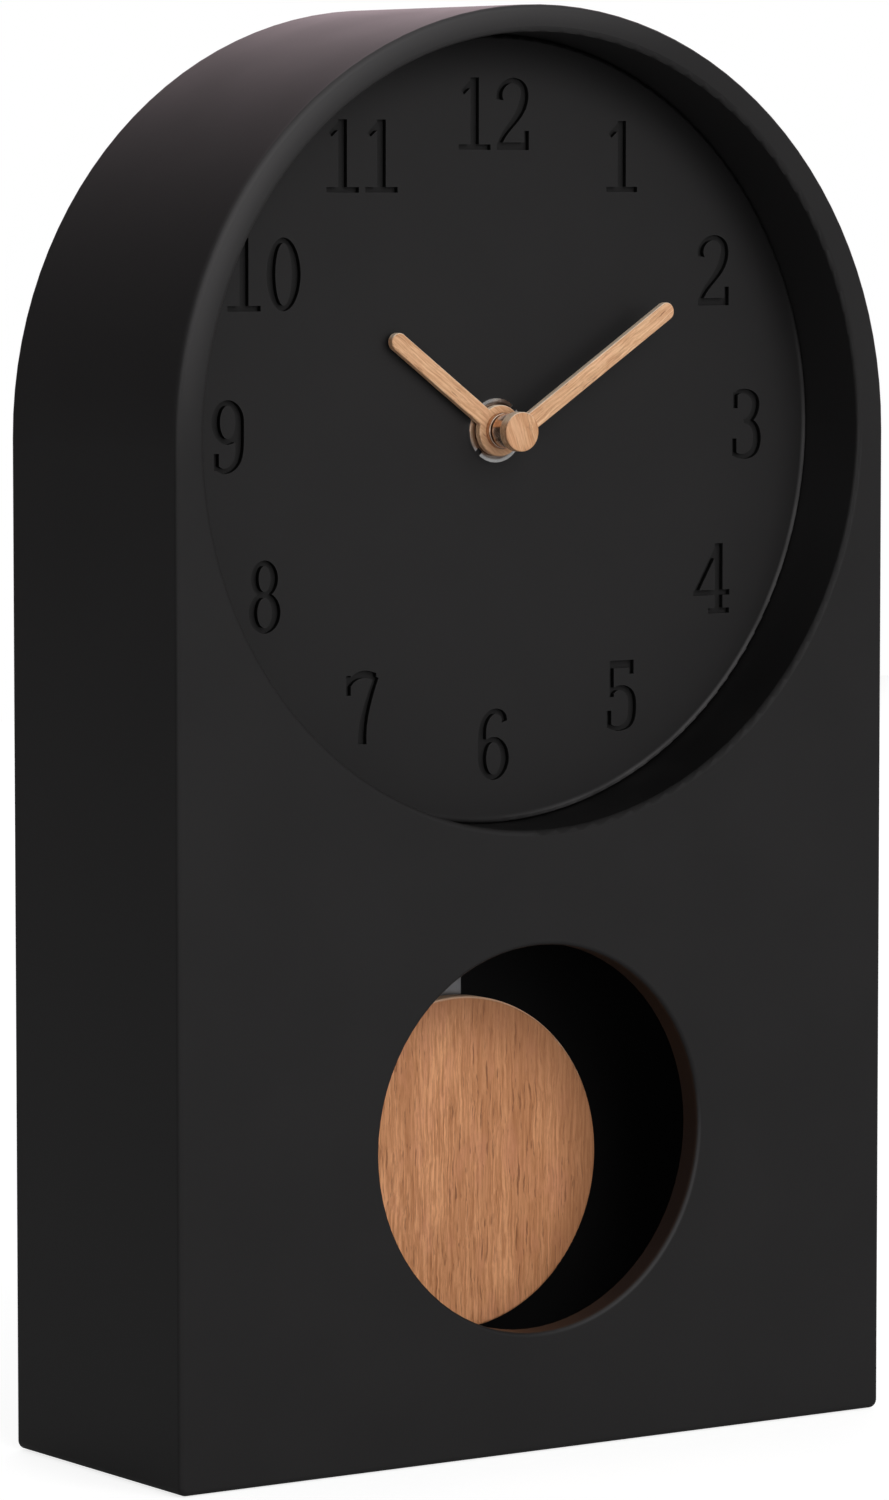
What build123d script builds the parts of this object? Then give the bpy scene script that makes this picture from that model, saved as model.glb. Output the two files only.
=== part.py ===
from build123d import *
from math import cos, hypot, radians, sin
import os

os.makedirs("parts", exist_ok=True)

# Frame: X to the right seen from the front, Y to the back, Z up, in millimetres.
# The origin is the middle of the footprint, on the surface that the clock stands on.
# Depths are measured from the plane of the front panel towards the back.

# Case
case_width = 160.0
case_height = 270.0
case_depth = 58.0
side_wall = 3.5
base_wall = 4.0
front_wall = 3.0
front_edge_radius = 1.0
back_edge_radius = 1.0
base_corner_radius = 1.6

# Dial opening and the pocket that the dial sits in
opening_margin = 6.0        # front panel left at each side of the opening
opening_lift = 1.0          # centre of the dial above the centre of the arch
opening_edge_radius = 1.0
recess_depth = 16.0
ring_wall = 3.0
dial_step = 2.0             # ledge that the dial's flange lies against

# Pendulum window
window_margin = 22.0        # front panel left over and under the window
window_lift = 0.5           # window above the middle of the panel under the dial
window_edge_radius = 0.8
window_collar_depth = 5.0
window_collar_wall = 2.2

# Dial plate
dial_rise = 2.0
dial_flange = 2.0
dial_clearance = 0.2
dial_edge_radius = 0.8
dial_hole_clearance = 0.15
numeral_height = 13.0
numeral_margin = 15.0       # middle of the numerals inside the opening
numeral_depth = 1.1
numeral_advance = 8.6       # from one figure of a pair to the next

# Dial screws, into bosses outside the pocket's wall
dial_screw_angles = (-27, -55, -125, -153)
dial_screw_offset = 1.4     # boss centre outside the pocket's wall
dial_boss_radius = 3.2
dial_screw_radius = 1.1
dial_screw_length = 6.0
dial_screw_head_radius = 3.9
dial_screw_head_height = 1.2

# Back panel and its screws
panel_thickness = 2.0
panel_inset = 2.5
panel_clearance = 0.25
panel_opening_width = 76.0
panel_opening_up = 37.5     # above the hands' centre
panel_opening_down = 70.5
panel_opening_radius = 8.0
panel_boss_radius = 4.0
panel_boss_wall_gap = 3.4
panel_boss_low = 14.0
panel_boss_down = 86.5      # upper pair of side bosses below the hands' centre
panel_boss_arch_angle = 48
panel_screw_radius = 1.45
panel_screw_length = 10.0
panel_screw_head_radius = 2.9
panel_screw_head_height = 1.8

# Every screw
screw_clearance = 0.05
cross_width = 0.9           # cross recess in the head
cross_depth = 0.8
cross_share = 0.55          # reach of the cross, of the smallest head's radius
head_edge_share = 0.45      # rounding of the head's rim, of its height

# Movement housing, centred on the hands
gasket_thickness = 1.0
gasket_radius = 15.0
housing_up = 28.0
housing_corner_radius = 3.0
housing_wall = 1.5
cavity_depth = 14.0
bay_wall = 1.0
wheel_room = 0.893          # between the centre wheel and the battery bay's wall
snap_tab_thickness = 0.9
snap_tab_width = 7.0
snap_tab_length = 5.0
snap_tab_height = 14.0      # tabs above the hands' centre, and as far below it

# Pendulum unit, under the housing
unit_half_width = 17.0
unit_length = 30.0
unit_cavity_depth = 4.8
unit_wall = 1.2

# Bushing and nut that clamp the movement to the dial
bushing_radius = 4.0
bushing_bore_radius = 2.6
bushing_flange_radius = 6.0
bushing_flange_thickness = 0.6
nut_radius = 6.0
nut_thickness = 0.8
nut_notch_width = 1.2
nut_notch_depth = 1.0
bushing_proud = 0.1

# Hands
hand_width = 3.4
hand_thickness = 1.3
hour_hand_margin = 44.0     # tip of the hand inside the opening
hour_hub_radius = 4.8
hour_hand_angle = 306.5     # clockwise from twelve, the clock shows about 10:09
minute_hand_margin = 32.0
minute_hub_radius = 3.7
minute_hand_angle = 57.0
minute_cap_thickness = 0.8
minute_cap_front = 6.5
hub_gap = 0.3               # hour hand to nut
hour_bush_radius = 3.4
hour_bush_height = 1.2
minute_bush_radius = 3.3
minute_bush_height = 3.3
hand_edge_radius = 0.25

# Arbors and bearings
arbor_radius = 0.5
bearing_clearance = 0.05
bearing_depth = 1.0
hour_tube_radius = 2.5
minute_arbor_radius = 1.6
minute_arbor_bore_depth = 2.0
clutch_collar_radius = 2.6
clutch_collar_thickness = 0.4

# Wheels: thickness, end play, and the shape of the teeth in shares
wheel_thickness = 0.8
motion_thickness = 1.0
play = 0.3
pinion_overhang = 0.2
addendum_share = 0.9
dedendum_share = 1.25
tooth_root_share = 0.30     # half a tooth at its root, of one pitch
tooth_tip_share = 0.12      # half a tooth at its tip, of one pitch

# Motion work: the minute arbor turns the hour wheel twelve times slower
cannon_teeth = 12
motion_teeth = 36
motion_pinion_teeth = 10
hour_teeth = 40
motion_module = 0.5
motion_angle = 0            # from the hands' centre to the motion wheel
knob_teeth = 12
knob_angle = 50             # from the motion wheel to the setting knob
knob_shaft_radius = 1.2
knob_radius = 5.5
knob_height = 4.0
knob_grooves = 18
knob_groove_radius = 0.45

# Going train, from the rotor to the centre wheel
centre_teeth = 64
third_pinion_teeth = 8
centre_module = 0.33
third_teeth = 60
fourth_pinion_teeth = 8
third_angle = 135
fourth_teeth = 32
fifth_pinion_teeth = 8
fourth_module = 0.6
fifth_angle = 60
fifth_teeth = 60
rotor_pinion_teeth = 8
fifth_module = 0.3
rotor_angle = 30
rotor_magnet_radius = 3.0
rotor_magnet_thickness = 2.4

# Stator and its coil
stator_thickness = 0.8
stator_gap = 0.4
stator_ring_wall = 2.1
stator_band = 3.0
stator_high = 22.0          # middle of the band through the coil, above the hands' centre
stator_low = 14.2
stator_left = -23.2
stator_right = 13.6
coil_left = -20.0
coil_right = -6.0
coil_radius = 3.1
coil_flange_radius = 3.7
coil_flange_thickness = 0.8
coil_bore_clearance = 0.1
coil_tube_wall = 0.7

# Battery, size AA, and its contacts
battery_radius = 7.25
battery_body_length = 49.2
battery_nub_radius = 2.75
battery_nub_length = 1.3
battery_gap = 0.3           # battery to the wall over it
battery_rest = 0.45         # battery to the wall under it
contact_thickness = 0.4
contact_width = 9.0
contact_bulge = 2.1         # how far the minus contact bows out to the battery
contact_strip_width = 2.4
contact_strip_rise = 1.6    # strips above the floor of the battery bay
contact_foot = 12.0         # how far each strip runs in over the circuit board

# Circuit board
board_thickness = 0.8
board_half_width = 14.0
board_margin = 1.4
chip_radius = 2.6
chip_height = 0.6
chip_edge_share = 0.7       # rounding of the drop, of its height
crystal_radius = 1.0
crystal_length = 6.0
crystal_side = 12.0

# Pendulum
pivot_drop = 5.5            # pivot under the bottom of the housing
pivot_pin_radius = 1.0
pivot_boss_radius = 3.5
pivot_boss_height = 3.5
pivot_pin_anchor = 3.2
retainer_radius = 2.6
retainer_thickness = 0.8
hanger_gap = 0.5
hanger_thickness = 2.5
hanger_width = 9.0
hanger_length = 18.0
magnet_radius = 3.6
magnet_thickness = 2.0
magnet_drop = 9.0
drive_coil_radius = 7.5
drive_coil_bore_radius = 2.4
stop_gap = 0.45
stop_width = 1.6
stop_height = 5.0
swing = 10                  # degrees to each side
bob_margin = 4.5            # bob smaller than the window, in radius
bob_drop = 7.9              # middle of the bob below the middle of the window
bob_front = 27.5
bob_thickness = 4.0
bob_edge_radius = 0.6
rod_width = 6.4
rod_thickness = 0.8
rod_end_margin = 5.0        # how far the rod runs past the lower bob screw
rod_overlap = 8.0           # how far the rod lies on the hanger
bob_screw_share = 0.5       # spacing of the bob screws, of the bob's radius
small_screw_radius = 0.9
small_screw_head_radius = 2.1
small_screw_head_height = 1.1
small_screw_length = 2.2

overrun = 1.0               # how far a cut runs past the face it opens

# Places that follow from the sizes above
half_width = case_width / 2
arch_centre = case_height - half_width
hands_height = arch_centre + opening_lift
opening_radius = half_width - opening_margin
lower_front = hands_height - opening_radius
window_radius = lower_front / 2 - window_margin
window_height = lower_front / 2 + window_lift
numeral_ring_radius = opening_radius - numeral_margin
hour_hand_length = opening_radius - hour_hand_margin
minute_hand_length = opening_radius - minute_hand_margin
dial_back = recess_depth + dial_rise + dial_flange
ring_radius = opening_radius + ring_wall
pocket_radius = opening_radius + dial_step
movement_front = dial_back + gasket_thickness
cavity_front = movement_front + housing_wall
cavity_back = cavity_front + cavity_depth
movement_back = cavity_back + housing_wall
unit_cavity_back = cavity_front + unit_cavity_depth
unit_back = unit_cavity_back + unit_wall
centre_tip_radius = centre_module * (centre_teeth / 2 + addendum_share)
battery_drop = centre_tip_radius + wheel_room + bay_wall + battery_gap + battery_radius
housing_down = battery_drop + battery_radius + battery_rest + housing_wall
housing_low = hands_height - housing_down
unit_low = housing_low - unit_length
panel_back = case_depth - panel_inset
panel_front = panel_back - panel_thickness
panel_opening_low = hands_height - panel_opening_down
panel_opening_high = hands_height + panel_opening_up
panel_boss_heights = (panel_boss_low, hands_height - panel_boss_down)
pivot_height = housing_low - pivot_drop
hanger_front = unit_back + hanger_gap
hanger_back = hanger_front + hanger_thickness
bob_radius = window_radius - bob_margin
bob_centre_height = window_height - bob_drop
bob_screw_spacing = bob_radius * bob_screw_share
rod_foot = bob_screw_spacing / 2 + rod_end_margin
rod_front = bob_front + bob_thickness
battery_height = hands_height - battery_drop
contact_strip_height = housing_low + housing_wall + contact_strip_rise
bay_wall_low = battery_height + battery_radius + battery_gap
battery_length = battery_body_length + battery_nub_length
housing_half_width = housing_wall + (contact_bulge + battery_length + contact_thickness) / 2

# Depths of the hands and of the wheels behind them
nut_front = recess_depth - nut_thickness
hour_hand_back = nut_front - hub_gap
hour_hand_front = hour_hand_back - hand_thickness
minute_hand_front = minute_cap_front + minute_cap_thickness
minute_hand_back = minute_hand_front + hand_thickness
hour_wheel_front = cavity_front + play
hour_wheel_back = hour_wheel_front + motion_thickness
motion_wheel_front = hour_wheel_back + play
motion_wheel_back = motion_wheel_front + motion_thickness
centre_wheel_front = motion_wheel_back + 2 * play
centre_wheel_back = centre_wheel_front + wheel_thickness
minute_arbor_back = centre_wheel_back + clutch_collar_thickness + play / 2
third_wheel_front = minute_arbor_back + play
third_wheel_back = third_wheel_front + wheel_thickness
fourth_wheel_front = third_wheel_back + 2 * play
fourth_wheel_back = fourth_wheel_front + wheel_thickness
fifth_wheel_front = fourth_wheel_back + 2 * play
fifth_wheel_back = fifth_wheel_front + wheel_thickness
rotor_magnet_front = fifth_wheel_back + 2 * play
rotor_magnet_back = rotor_magnet_front + rotor_magnet_thickness
stator_front = rotor_magnet_front + (rotor_magnet_thickness - stator_thickness) / 2
stator_back = stator_front + stator_thickness

# Centre distances, which also fix the module of the second pair of each step
motion_distance = (cannon_teeth + motion_teeth) * motion_module / 2
hour_module = 2 * motion_distance / (motion_pinion_teeth + hour_teeth)
knob_distance = (motion_teeth + knob_teeth) * motion_module / 2
third_distance = (centre_teeth + third_pinion_teeth) * centre_module / 2
third_module = 2 * third_distance / (third_teeth + fourth_pinion_teeth)
fifth_distance = (fourth_teeth + fifth_pinion_teeth) * fourth_module / 2
rotor_distance = (fifth_teeth + rotor_pinion_teeth) * fifth_module / 2


def along(start, angle, distance):
    """The point at a distance and an angle, counterclockwise seen from the front."""
    return (start[0] + distance * cos(radians(angle)), start[1] + distance * sin(radians(angle)))


hands_centre = (0, hands_height)
motion_centre = along(hands_centre, motion_angle, motion_distance)
knob_centre = along(motion_centre, knob_angle, knob_distance)
third_centre = along(hands_centre, third_angle, third_distance)
fifth_centre = along(hands_centre, fifth_angle, fifth_distance)
rotor_centre = along(fifth_centre, rotor_angle, rotor_distance)
pivot_centre = (0, pivot_height)


# Basic shapes, all carried along the depth

def slab(outline, front, back):
    """An outline drawn in X and Z, made solid between two depths."""
    place = Plane(origin=(0, back - case_depth / 2, 0), x_dir=(1, 0, 0), z_dir=(0, -1, 0))
    return extrude(place * outline, amount=back - front)


def disc(centre, radius, front, back):
    return slab(Pos(*centre) * Circle(radius), front, back)


def tube(centre, outer, inner, front, back):
    return slab(Pos(*centre) * (Circle(outer) - Circle(inner)), front, back)


def block(left, right, front, back, low, high):
    outline = Pos((left + right) / 2, (low + high) / 2) * Rectangle(right - left, high - low)
    return slab(outline, front, back)


def edges_at(shape, depth):
    """The edges that lie wholly in the plane at one depth."""
    tolerance = case_depth / 1e6
    place = depth - case_depth / 2
    return ShapeList([
        edge for edge in shape.edges()
        if abs(edge.bounding_box().min.Y - place) < tolerance
        and abs(edge.bounding_box().max.Y - place) < tolerance
    ])


def circles_at(shape, depth, radius):
    """The round edges of one radius in the plane at one depth."""
    return ShapeList([
        edge for edge in edges_at(shape, depth).filter_by(GeomType.CIRCLE)
        if abs(edge.radius - radius) < radius / 1e4
    ])


def arch(half, low, centre):
    """Upright sides on a flat base, with a half circle on top."""
    sides = Polyline((half, centre), (half, low), (-half, low), (-half, centre))
    top = ThreePointArc((-half, centre), (0, centre + half), (half, centre))
    return make_face(sides + top)


def cross_cut(centre, top, upwards):
    """The cross recess of a screw head, from its top face inwards."""
    reach = small_screw_head_radius * cross_share
    arm = Rectangle(2 * reach, cross_width) + Rectangle(cross_width, 2 * reach)
    if upwards:
        return slab(Pos(*centre) * arm, top - cross_depth, top + overrun)
    return slab(Pos(*centre) * arm, top - overrun, top + cross_depth)


def screw(centre, seat, radius, length, head_radius, head_height):
    """A pan-head screw driven from behind; the seat is the depth under its head."""
    head = disc(centre, head_radius, seat, seat + head_height)
    head = fillet(circles_at(head, seat + head_height, head_radius), head_height * head_edge_share)
    shank = disc(centre, radius, seat - length, seat)
    return head + shank - cross_cut(centre, seat + head_height, True)


# Toothed wheels

def gear(teeth, module, turn):
    """A wheel's outline; one tooth points at the angle of turn."""
    root = module * (teeth / 2 - dedendum_share)
    tip = module * (teeth / 2 + addendum_share)
    step = 360 / teeth
    flank = (
        (root, -tooth_root_share),
        (tip, -tooth_tip_share),
        (tip, tooth_tip_share),
        (root, tooth_root_share),
    )
    corners = []
    for tooth in range(teeth):
        for radius, share in flank:
            angle = radians(turn + (tooth + share) * step)
            corners.append((radius * cos(angle), radius * sin(angle)))
    return make_face(Polyline(*corners, close=True))


def meshed(turn, teeth, other_teeth, angle):
    """The turn that puts a gap of the second wheel where the first has a tooth."""
    pitches = (turn - angle) * teeth / 360
    return angle + 180 + (0.5 - pitches) * 360 / other_teeth


def wheel(centre, teeth, module, turn, front, back):
    return slab(Pos(*centre) * gear(teeth, module, turn), front, back)


def arbor(centre, radius=arbor_radius):
    """An arbor from the bearing in the front plate to the one in the back wall."""
    reach = bearing_depth - 2 * bearing_clearance
    return disc(centre, radius, cavity_front - reach, cavity_back + reach)


cannon_turn = motion_angle
motion_turn = meshed(cannon_turn, cannon_teeth, motion_teeth, motion_angle)
knob_turn = meshed(motion_turn, motion_teeth, knob_teeth, knob_angle)
hour_turn = motion_angle
motion_pinion_turn = meshed(hour_turn, hour_teeth, motion_pinion_teeth, motion_angle)
centre_turn = third_angle
third_pinion_turn = meshed(centre_turn, centre_teeth, third_pinion_teeth, third_angle)
fourth_pinion_turn = third_angle
third_turn = meshed(fourth_pinion_turn, fourth_pinion_teeth, third_teeth, third_angle)
fourth_turn = fifth_angle
fifth_pinion_turn = meshed(fourth_turn, fourth_teeth, fifth_pinion_teeth, fifth_angle)
fifth_turn = rotor_angle
rotor_pinion_turn = meshed(fifth_turn, fifth_teeth, rotor_pinion_teeth, rotor_angle)


# Figures, in shares of their height: x from the middle, y from the foot, and the width
# of the pen at each point. A stroke is one pen line; a bar is left, right, low, high.
# All of them are drawn wider by the weight, on each side.

weight_share = 0.018
bold_share = 0.115
fine_share = 0.045
bowl_share = ((-0.20, 0.06, fine_share), (-0.02, 0.022, fine_share), (0.15, 0.10, 0.10))
hook_bar_share = (-0.235, -0.185, 0.045, 0.27)
figure_shares = {
    "0": {"rings": (((0, 0.5), (0.27, 0.5), (0.155, 0.455)),)},
    "1": {
        "strokes": (((-0.21, 0.80, fine_share), (-0.03, 0.965, 0.06)),),
        "bars": ((-0.058, 0.058, 0, 1), (-0.26, 0.26, 0, fine_share)),
    },
    "2": {
        "strokes": ((
            (-0.215, 0.70, 0.09), (-0.20, 0.86, 0.06), (0, 0.977, fine_share), (0.185, 0.88, 0.09),
            (0.20, 0.70, bold_share), (0.08, 0.46, 0.09), (-0.12, 0.24, 0.06), (-0.235, 0.03, fine_share),
        ),),
        "bars": ((-0.26, 0.27, 0, 0.075), (0.225, 0.27, 0, 0.24)),
    },
    "3": {
        "strokes": (
            ((-0.18, 0.945, fine_share), (0.01, 0.977, fine_share), (0.165, 0.87, 0.10),
             (0.165, 0.69, 0.10), (-0.03, 0.535, fine_share)),
            ((-0.03, 0.545, fine_share), (0.17, 0.44, 0.10), (0.205, 0.26, bold_share))
            + bowl_share[::-1],
        ),
        "bars": (hook_bar_share, (-0.215, -0.165, 0.75, 0.955)),
    },
    "4": {
        "strokes": (((0.11, 0.99, fine_share), (-0.30, 0.30, fine_share)),),
        "bars": ((0.06, 0.175, 0, 1), (-0.33, 0.30, 0.27, 0.315), (-0.06, 0.295, 0, fine_share)),
    },
    "5": {
        "strokes": (
            ((-0.165, 0.53, fine_share), (0.01, 0.615, fine_share), (0.17, 0.52, 0.10),
             (0.205, 0.33, bold_share)) + bowl_share[::-1],
        ),
        "bars": ((-0.185, 0.215, 0.92, 1), (0.17, 0.215, 0.83, 1), (-0.185, -0.14, 0.50, 1), hook_bar_share),
    },
    "6": {
        "strokes": ((
            (0.19, 0.82, 0.07), (0.16, 0.93, 0.055), (0.03, 0.977, fine_share), (-0.14, 0.86, 0.08),
            (-0.198, 0.62, 0.11), (-0.198, 0.34, bold_share),
        ),),
        "rings": (((0, 0.295), (0.255, 0.295), (0.145, 0.25)),),
    },
    "7": {
        "strokes": (
            ((0.235, 0.955, 0.05), (0.10, 0.62, 0.07), (0.01, 0.30, 0.10), (-0.01, 0, bold_share)),
            ((-0.245, 0.84, fine_share), (-0.15, 0.945, 0.07), (0.235, 0.95, 0.085)),
        ),
        "bars": ((-0.265, -0.22, 0.72, 0.97),),
    },
    "8": {
        "rings": (((0, 0.755), (0.21, 0.245), (0.115, 0.20)), ((0, 0.275), (0.25, 0.275), (0.14, 0.23))),
    },
    "9": {
        "strokes": ((
            (0.198, 0.66, bold_share), (0.197, 0.38, 0.11), (0.14, 0.13, 0.08), (-0.02, 0.022, fine_share),
            (-0.165, 0.06, fine_share),
        ),),
        "rings": (((0, 0.705), (0.255, 0.295), (0.145, 0.25)),),
        "bars": ((-0.215, -0.165, 0.045, 0.25),),
    },
}


def pen_stroke(points):
    """The outline of a pen line whose width changes from point to point."""
    left = []
    right = []
    last = len(points) - 1
    for i, (x, y, width) in enumerate(points):
        before = points[max(i - 1, 0)]
        after = points[min(i + 1, last)]
        run = (after[0] - before[0], after[1] - before[1])
        length = hypot(*run)
        reach = width / 2 + weight_share
        side = (-run[1] / length * reach, run[0] / length * reach)
        left.append(((x + side[0]) * numeral_height, (y + side[1]) * numeral_height))
        right.append(((x - side[0]) * numeral_height, (y - side[1]) * numeral_height))
    curve = Line if len(points) == 2 else Spline
    ends = Line(left[-1], right[-1]) + Line(right[0], left[0])
    return make_face(curve(*left) + curve(*right[::-1]) + ends)


def figure(name):
    """The outlines of one figure, its foot at the origin."""
    shares = figure_shares[name]
    outlines = [pen_stroke(points) for points in shares.get("strokes", ())]
    for left, right, low, high in shares.get("bars", ()):
        width = right - left + 2 * weight_share
        height = high - low + 2 * weight_share
        bar = Rectangle(width * numeral_height, height * numeral_height)
        outlines.append(Pos((left + right) / 2 * numeral_height, (low + high) / 2 * numeral_height) * bar)
    for middle, outer, inner in shares.get("rings", ()):
        ring = Ellipse(*((share + weight_share) * numeral_height for share in outer))
        ring -= Ellipse(*((share - weight_share) * numeral_height for share in inner))
        outlines.append(Pos(middle[0] * numeral_height, middle[1] * numeral_height) * ring)
    return outlines


def numeral_cuts():
    """The sunk numerals, twelve on top, each upright and centred on the hour ring."""
    cuts = []
    for hour in range(1, 13):
        centre = along(hands_centre, 90 - 30 * hour, numeral_ring_radius)
        figures = str(hour)
        for i, name in enumerate(figures):
            x = centre[0] + (i - (len(figures) - 1) / 2) * numeral_advance
            foot = centre[1] - numeral_height / 2
            for outline in figure(name):
                cuts.append(slab(Pos(x, foot) * outline, recess_depth - overrun, recess_depth + numeral_depth))
    return cuts


# Case

def dial_screw_places():
    return [along(hands_centre, angle, ring_radius + dial_screw_offset) for angle in dial_screw_angles]


def panel_screw_places():
    side = half_width - side_wall - panel_boss_wall_gap
    places = [(x, height) for height in panel_boss_heights for x in (-side, side)]
    for angle in (panel_boss_arch_angle, 180 - panel_boss_arch_angle):
        places.append(along((0, arch_centre), angle, side))
    return places


def make_case_shell():
    outer = slab(arch(half_width, 0, arch_centre), 0, case_depth)
    base_edges = outer.edges().filter_by(Axis.Y).filter_by(lambda edge: edge.center().Z < base_wall)
    outer = fillet(base_edges, base_corner_radius)
    outer = fillet(edges_at(outer, 0), front_edge_radius)
    outer = fillet(edges_at(outer, case_depth), back_edge_radius)
    inner = arch(half_width - side_wall, base_wall, arch_centre)
    shell = outer - slab(inner, front_wall, case_depth + overrun)
    shell += disc(hands_centre, ring_radius, 0, dial_back) & outer
    shell += disc((0, window_height), window_radius + window_collar_wall, 0, window_collar_depth)
    for centre in dial_screw_places():
        shell += disc(centre, dial_boss_radius, front_wall, dial_back)
    for centre in panel_screw_places():
        front = front_wall if centre[1] < hands_height - ring_radius else dial_back + 2 * dial_screw_head_height
        shell += disc(centre, panel_boss_radius, front, panel_front) & outer
    shell -= disc(hands_centre, opening_radius, -overrun, dial_back + overrun)
    shell -= disc(hands_centre, pocket_radius, recess_depth + dial_rise, dial_back)
    shell -= disc((0, window_height), window_radius, -overrun, window_collar_depth + overrun)
    for centre in dial_screw_places():
        hole = dial_screw_radius + screw_clearance
        shell -= disc(centre, hole, dial_back - dial_screw_length - overrun, dial_back + overrun)
    for centre in panel_screw_places():
        hole = panel_screw_radius + screw_clearance
        depth = panel_back - panel_screw_length - overrun
        shell -= disc(centre, hole, depth, panel_front + overrun)
    shell = fillet(circles_at(shell, 0, opening_radius), opening_edge_radius)
    return fillet(circles_at(shell, 0, window_radius), window_edge_radius)


def make_dial_plate():
    face = disc(hands_centre, opening_radius - dial_clearance, recess_depth, dial_back)
    face = fillet(circles_at(face, recess_depth, opening_radius - dial_clearance), dial_edge_radius)
    flange = disc(hands_centre, pocket_radius - dial_clearance, recess_depth + dial_rise, dial_back)
    hole = bushing_radius + dial_hole_clearance
    plate = face + flange - disc(hands_centre, hole, recess_depth - overrun, dial_back + overrun)
    return plate - numeral_cuts()


def make_dial_screws():
    return Compound(children=[
        screw(centre, dial_back, dial_screw_radius, dial_screw_length, dial_screw_head_radius,
              dial_screw_head_height)
        for centre in dial_screw_places()
    ])


def make_back_panel():
    half = half_width - side_wall - panel_clearance
    panel = slab(arch(half, base_wall + panel_clearance, arch_centre), panel_front, panel_back)
    middle = (panel_opening_low + panel_opening_high) / 2
    window = RectangleRounded(
        panel_opening_width, panel_opening_high - panel_opening_low, panel_opening_radius)
    panel -= slab(Pos(0, middle) * window, panel_front - overrun, panel_back + overrun)
    for centre in panel_screw_places():
        hole = panel_screw_radius + screw_clearance
        panel -= disc(centre, hole, panel_front - overrun, panel_back + overrun)
    return panel


def make_panel_screws():
    return Compound(children=[
        screw(centre, panel_back, panel_screw_radius, panel_screw_length, panel_screw_head_radius,
              panel_screw_head_height)
        for centre in panel_screw_places()
    ])


# Movement housing

def housing_outline(inset=0):
    """The main box of the movement, drawn in by an inset."""
    width = 2 * (housing_half_width - inset)
    height = housing_up + housing_down - 2 * inset
    middle = hands_height + (housing_up - housing_down) / 2
    return Pos(0, middle) * RectangleRounded(width, height, housing_corner_radius - inset)


def unit_outline(inset=0):
    """The pendulum unit under the main box, drawn in by an inset."""
    low = unit_low + inset
    high = housing_low + housing_corner_radius - inset
    return Pos(0, (low + high) / 2) * Rectangle(2 * (unit_half_width - inset), high - low)


def bearing_places():
    return (motion_centre, third_centre, fifth_centre, rotor_centre)


def make_movement_front():
    plate = slab(housing_outline() + unit_outline(), movement_front, cavity_front)
    for side in (-1, 1):
        for height in (hands_height + snap_tab_height, hands_height - snap_tab_height):
            near = side * housing_half_width
            far = near + side * snap_tab_thickness
            tab = block(min(near, far), max(near, far), movement_front, cavity_front + snap_tab_length,
                        height - snap_tab_width / 2, height + snap_tab_width / 2)
            plate += tab
    plate -= disc(hands_centre, bushing_radius, movement_front - overrun, cavity_front + overrun)
    for centre in bearing_places() + (knob_centre,):
        hole = arbor_radius + bearing_clearance
        plate -= disc(centre, hole, cavity_front - bearing_depth, cavity_front + overrun)
    return plate


def make_threaded_bushing():
    body = tube(hands_centre, bushing_radius, bushing_bore_radius, nut_front - bushing_proud, cavity_front)
    flange_front = movement_front - bushing_flange_thickness
    return body + tube(hands_centre, bushing_flange_radius, bushing_bore_radius, flange_front, movement_front)


def make_gasket():
    ring = tube(hands_centre, gasket_radius, bushing_radius + dial_hole_clearance, dial_back, movement_front)
    flange_front = movement_front - bushing_flange_thickness
    return ring - disc(hands_centre, bushing_flange_radius, flange_front, movement_front + overrun)


def make_fixing_nut():
    nut = tube(hands_centre, nut_radius, bushing_radius, nut_front, recess_depth)
    for turn in (45, 225):
        centre = along(hands_centre, turn, nut_radius)
        notch = Pos(*centre) * Rot(0, 0, turn) * Rectangle(2 * nut_notch_depth, nut_notch_width)
        nut -= slab(notch, nut_front - overrun, recess_depth + overrun)
    return nut


def make_movement_back():
    box = slab(housing_outline(), cavity_front, movement_back)
    box += slab(unit_outline(), cavity_front, unit_back)
    room_low = bay_wall_low + bay_wall
    room = housing_outline(housing_wall)
    upper = room - Pos(0, room_low - housing_down) * Rectangle(case_width, 2 * housing_down)
    box -= slab(upper, cavity_front - overrun, cavity_back)
    bay_low = housing_low + housing_wall
    half = housing_half_width - housing_wall
    box -= block(-half, half, cavity_front - overrun, movement_back + overrun, bay_low, bay_wall_low)
    unit_high = housing_low - housing_wall / 2
    unit_half = unit_half_width - unit_wall
    box -= block(-unit_half, unit_half, cavity_front - overrun, unit_cavity_back, unit_low + unit_wall, unit_high)
    for side in (-1, 1):
        middle = side * contact_foot
        reach = contact_strip_width / 2 + bearing_clearance
        box -= block(middle - reach, middle + reach, cavity_front - overrun,
                     cavity_front + board_thickness + 2 * contact_thickness, unit_high - overrun, bay_low + overrun)
    for centre in bearing_places() + (hands_centre,):
        hole = arbor_radius + bearing_clearance
        box -= disc(centre, hole, cavity_back - overrun, cavity_back + bearing_depth)
    knob_hole = knob_shaft_radius + bearing_clearance
    box -= disc(knob_centre, knob_hole, cavity_back - overrun, movement_back + overrun)
    box -= disc(pivot_centre, pivot_pin_radius, unit_cavity_back - overrun, unit_back + overrun)
    inner = stop_face()
    stop_low = pivot_height - hanger_length
    for side in (-1, 1):
        near = side * inner
        far = side * (inner + stop_width)
        box += block(min(near, far), max(near, far), unit_back, hanger_back - hanger_gap,
                     stop_low, stop_low + stop_height)
    return box


def stop_face():
    """How far out the hanger's lower corner comes at the end of its swing."""
    half = hanger_width / 2
    return half * cos(radians(swing)) + hanger_length * sin(radians(swing)) + stop_gap


# Battery, contacts and circuit

def battery_axis_depth():
    return cavity_front + battery_gap + battery_radius


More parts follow.
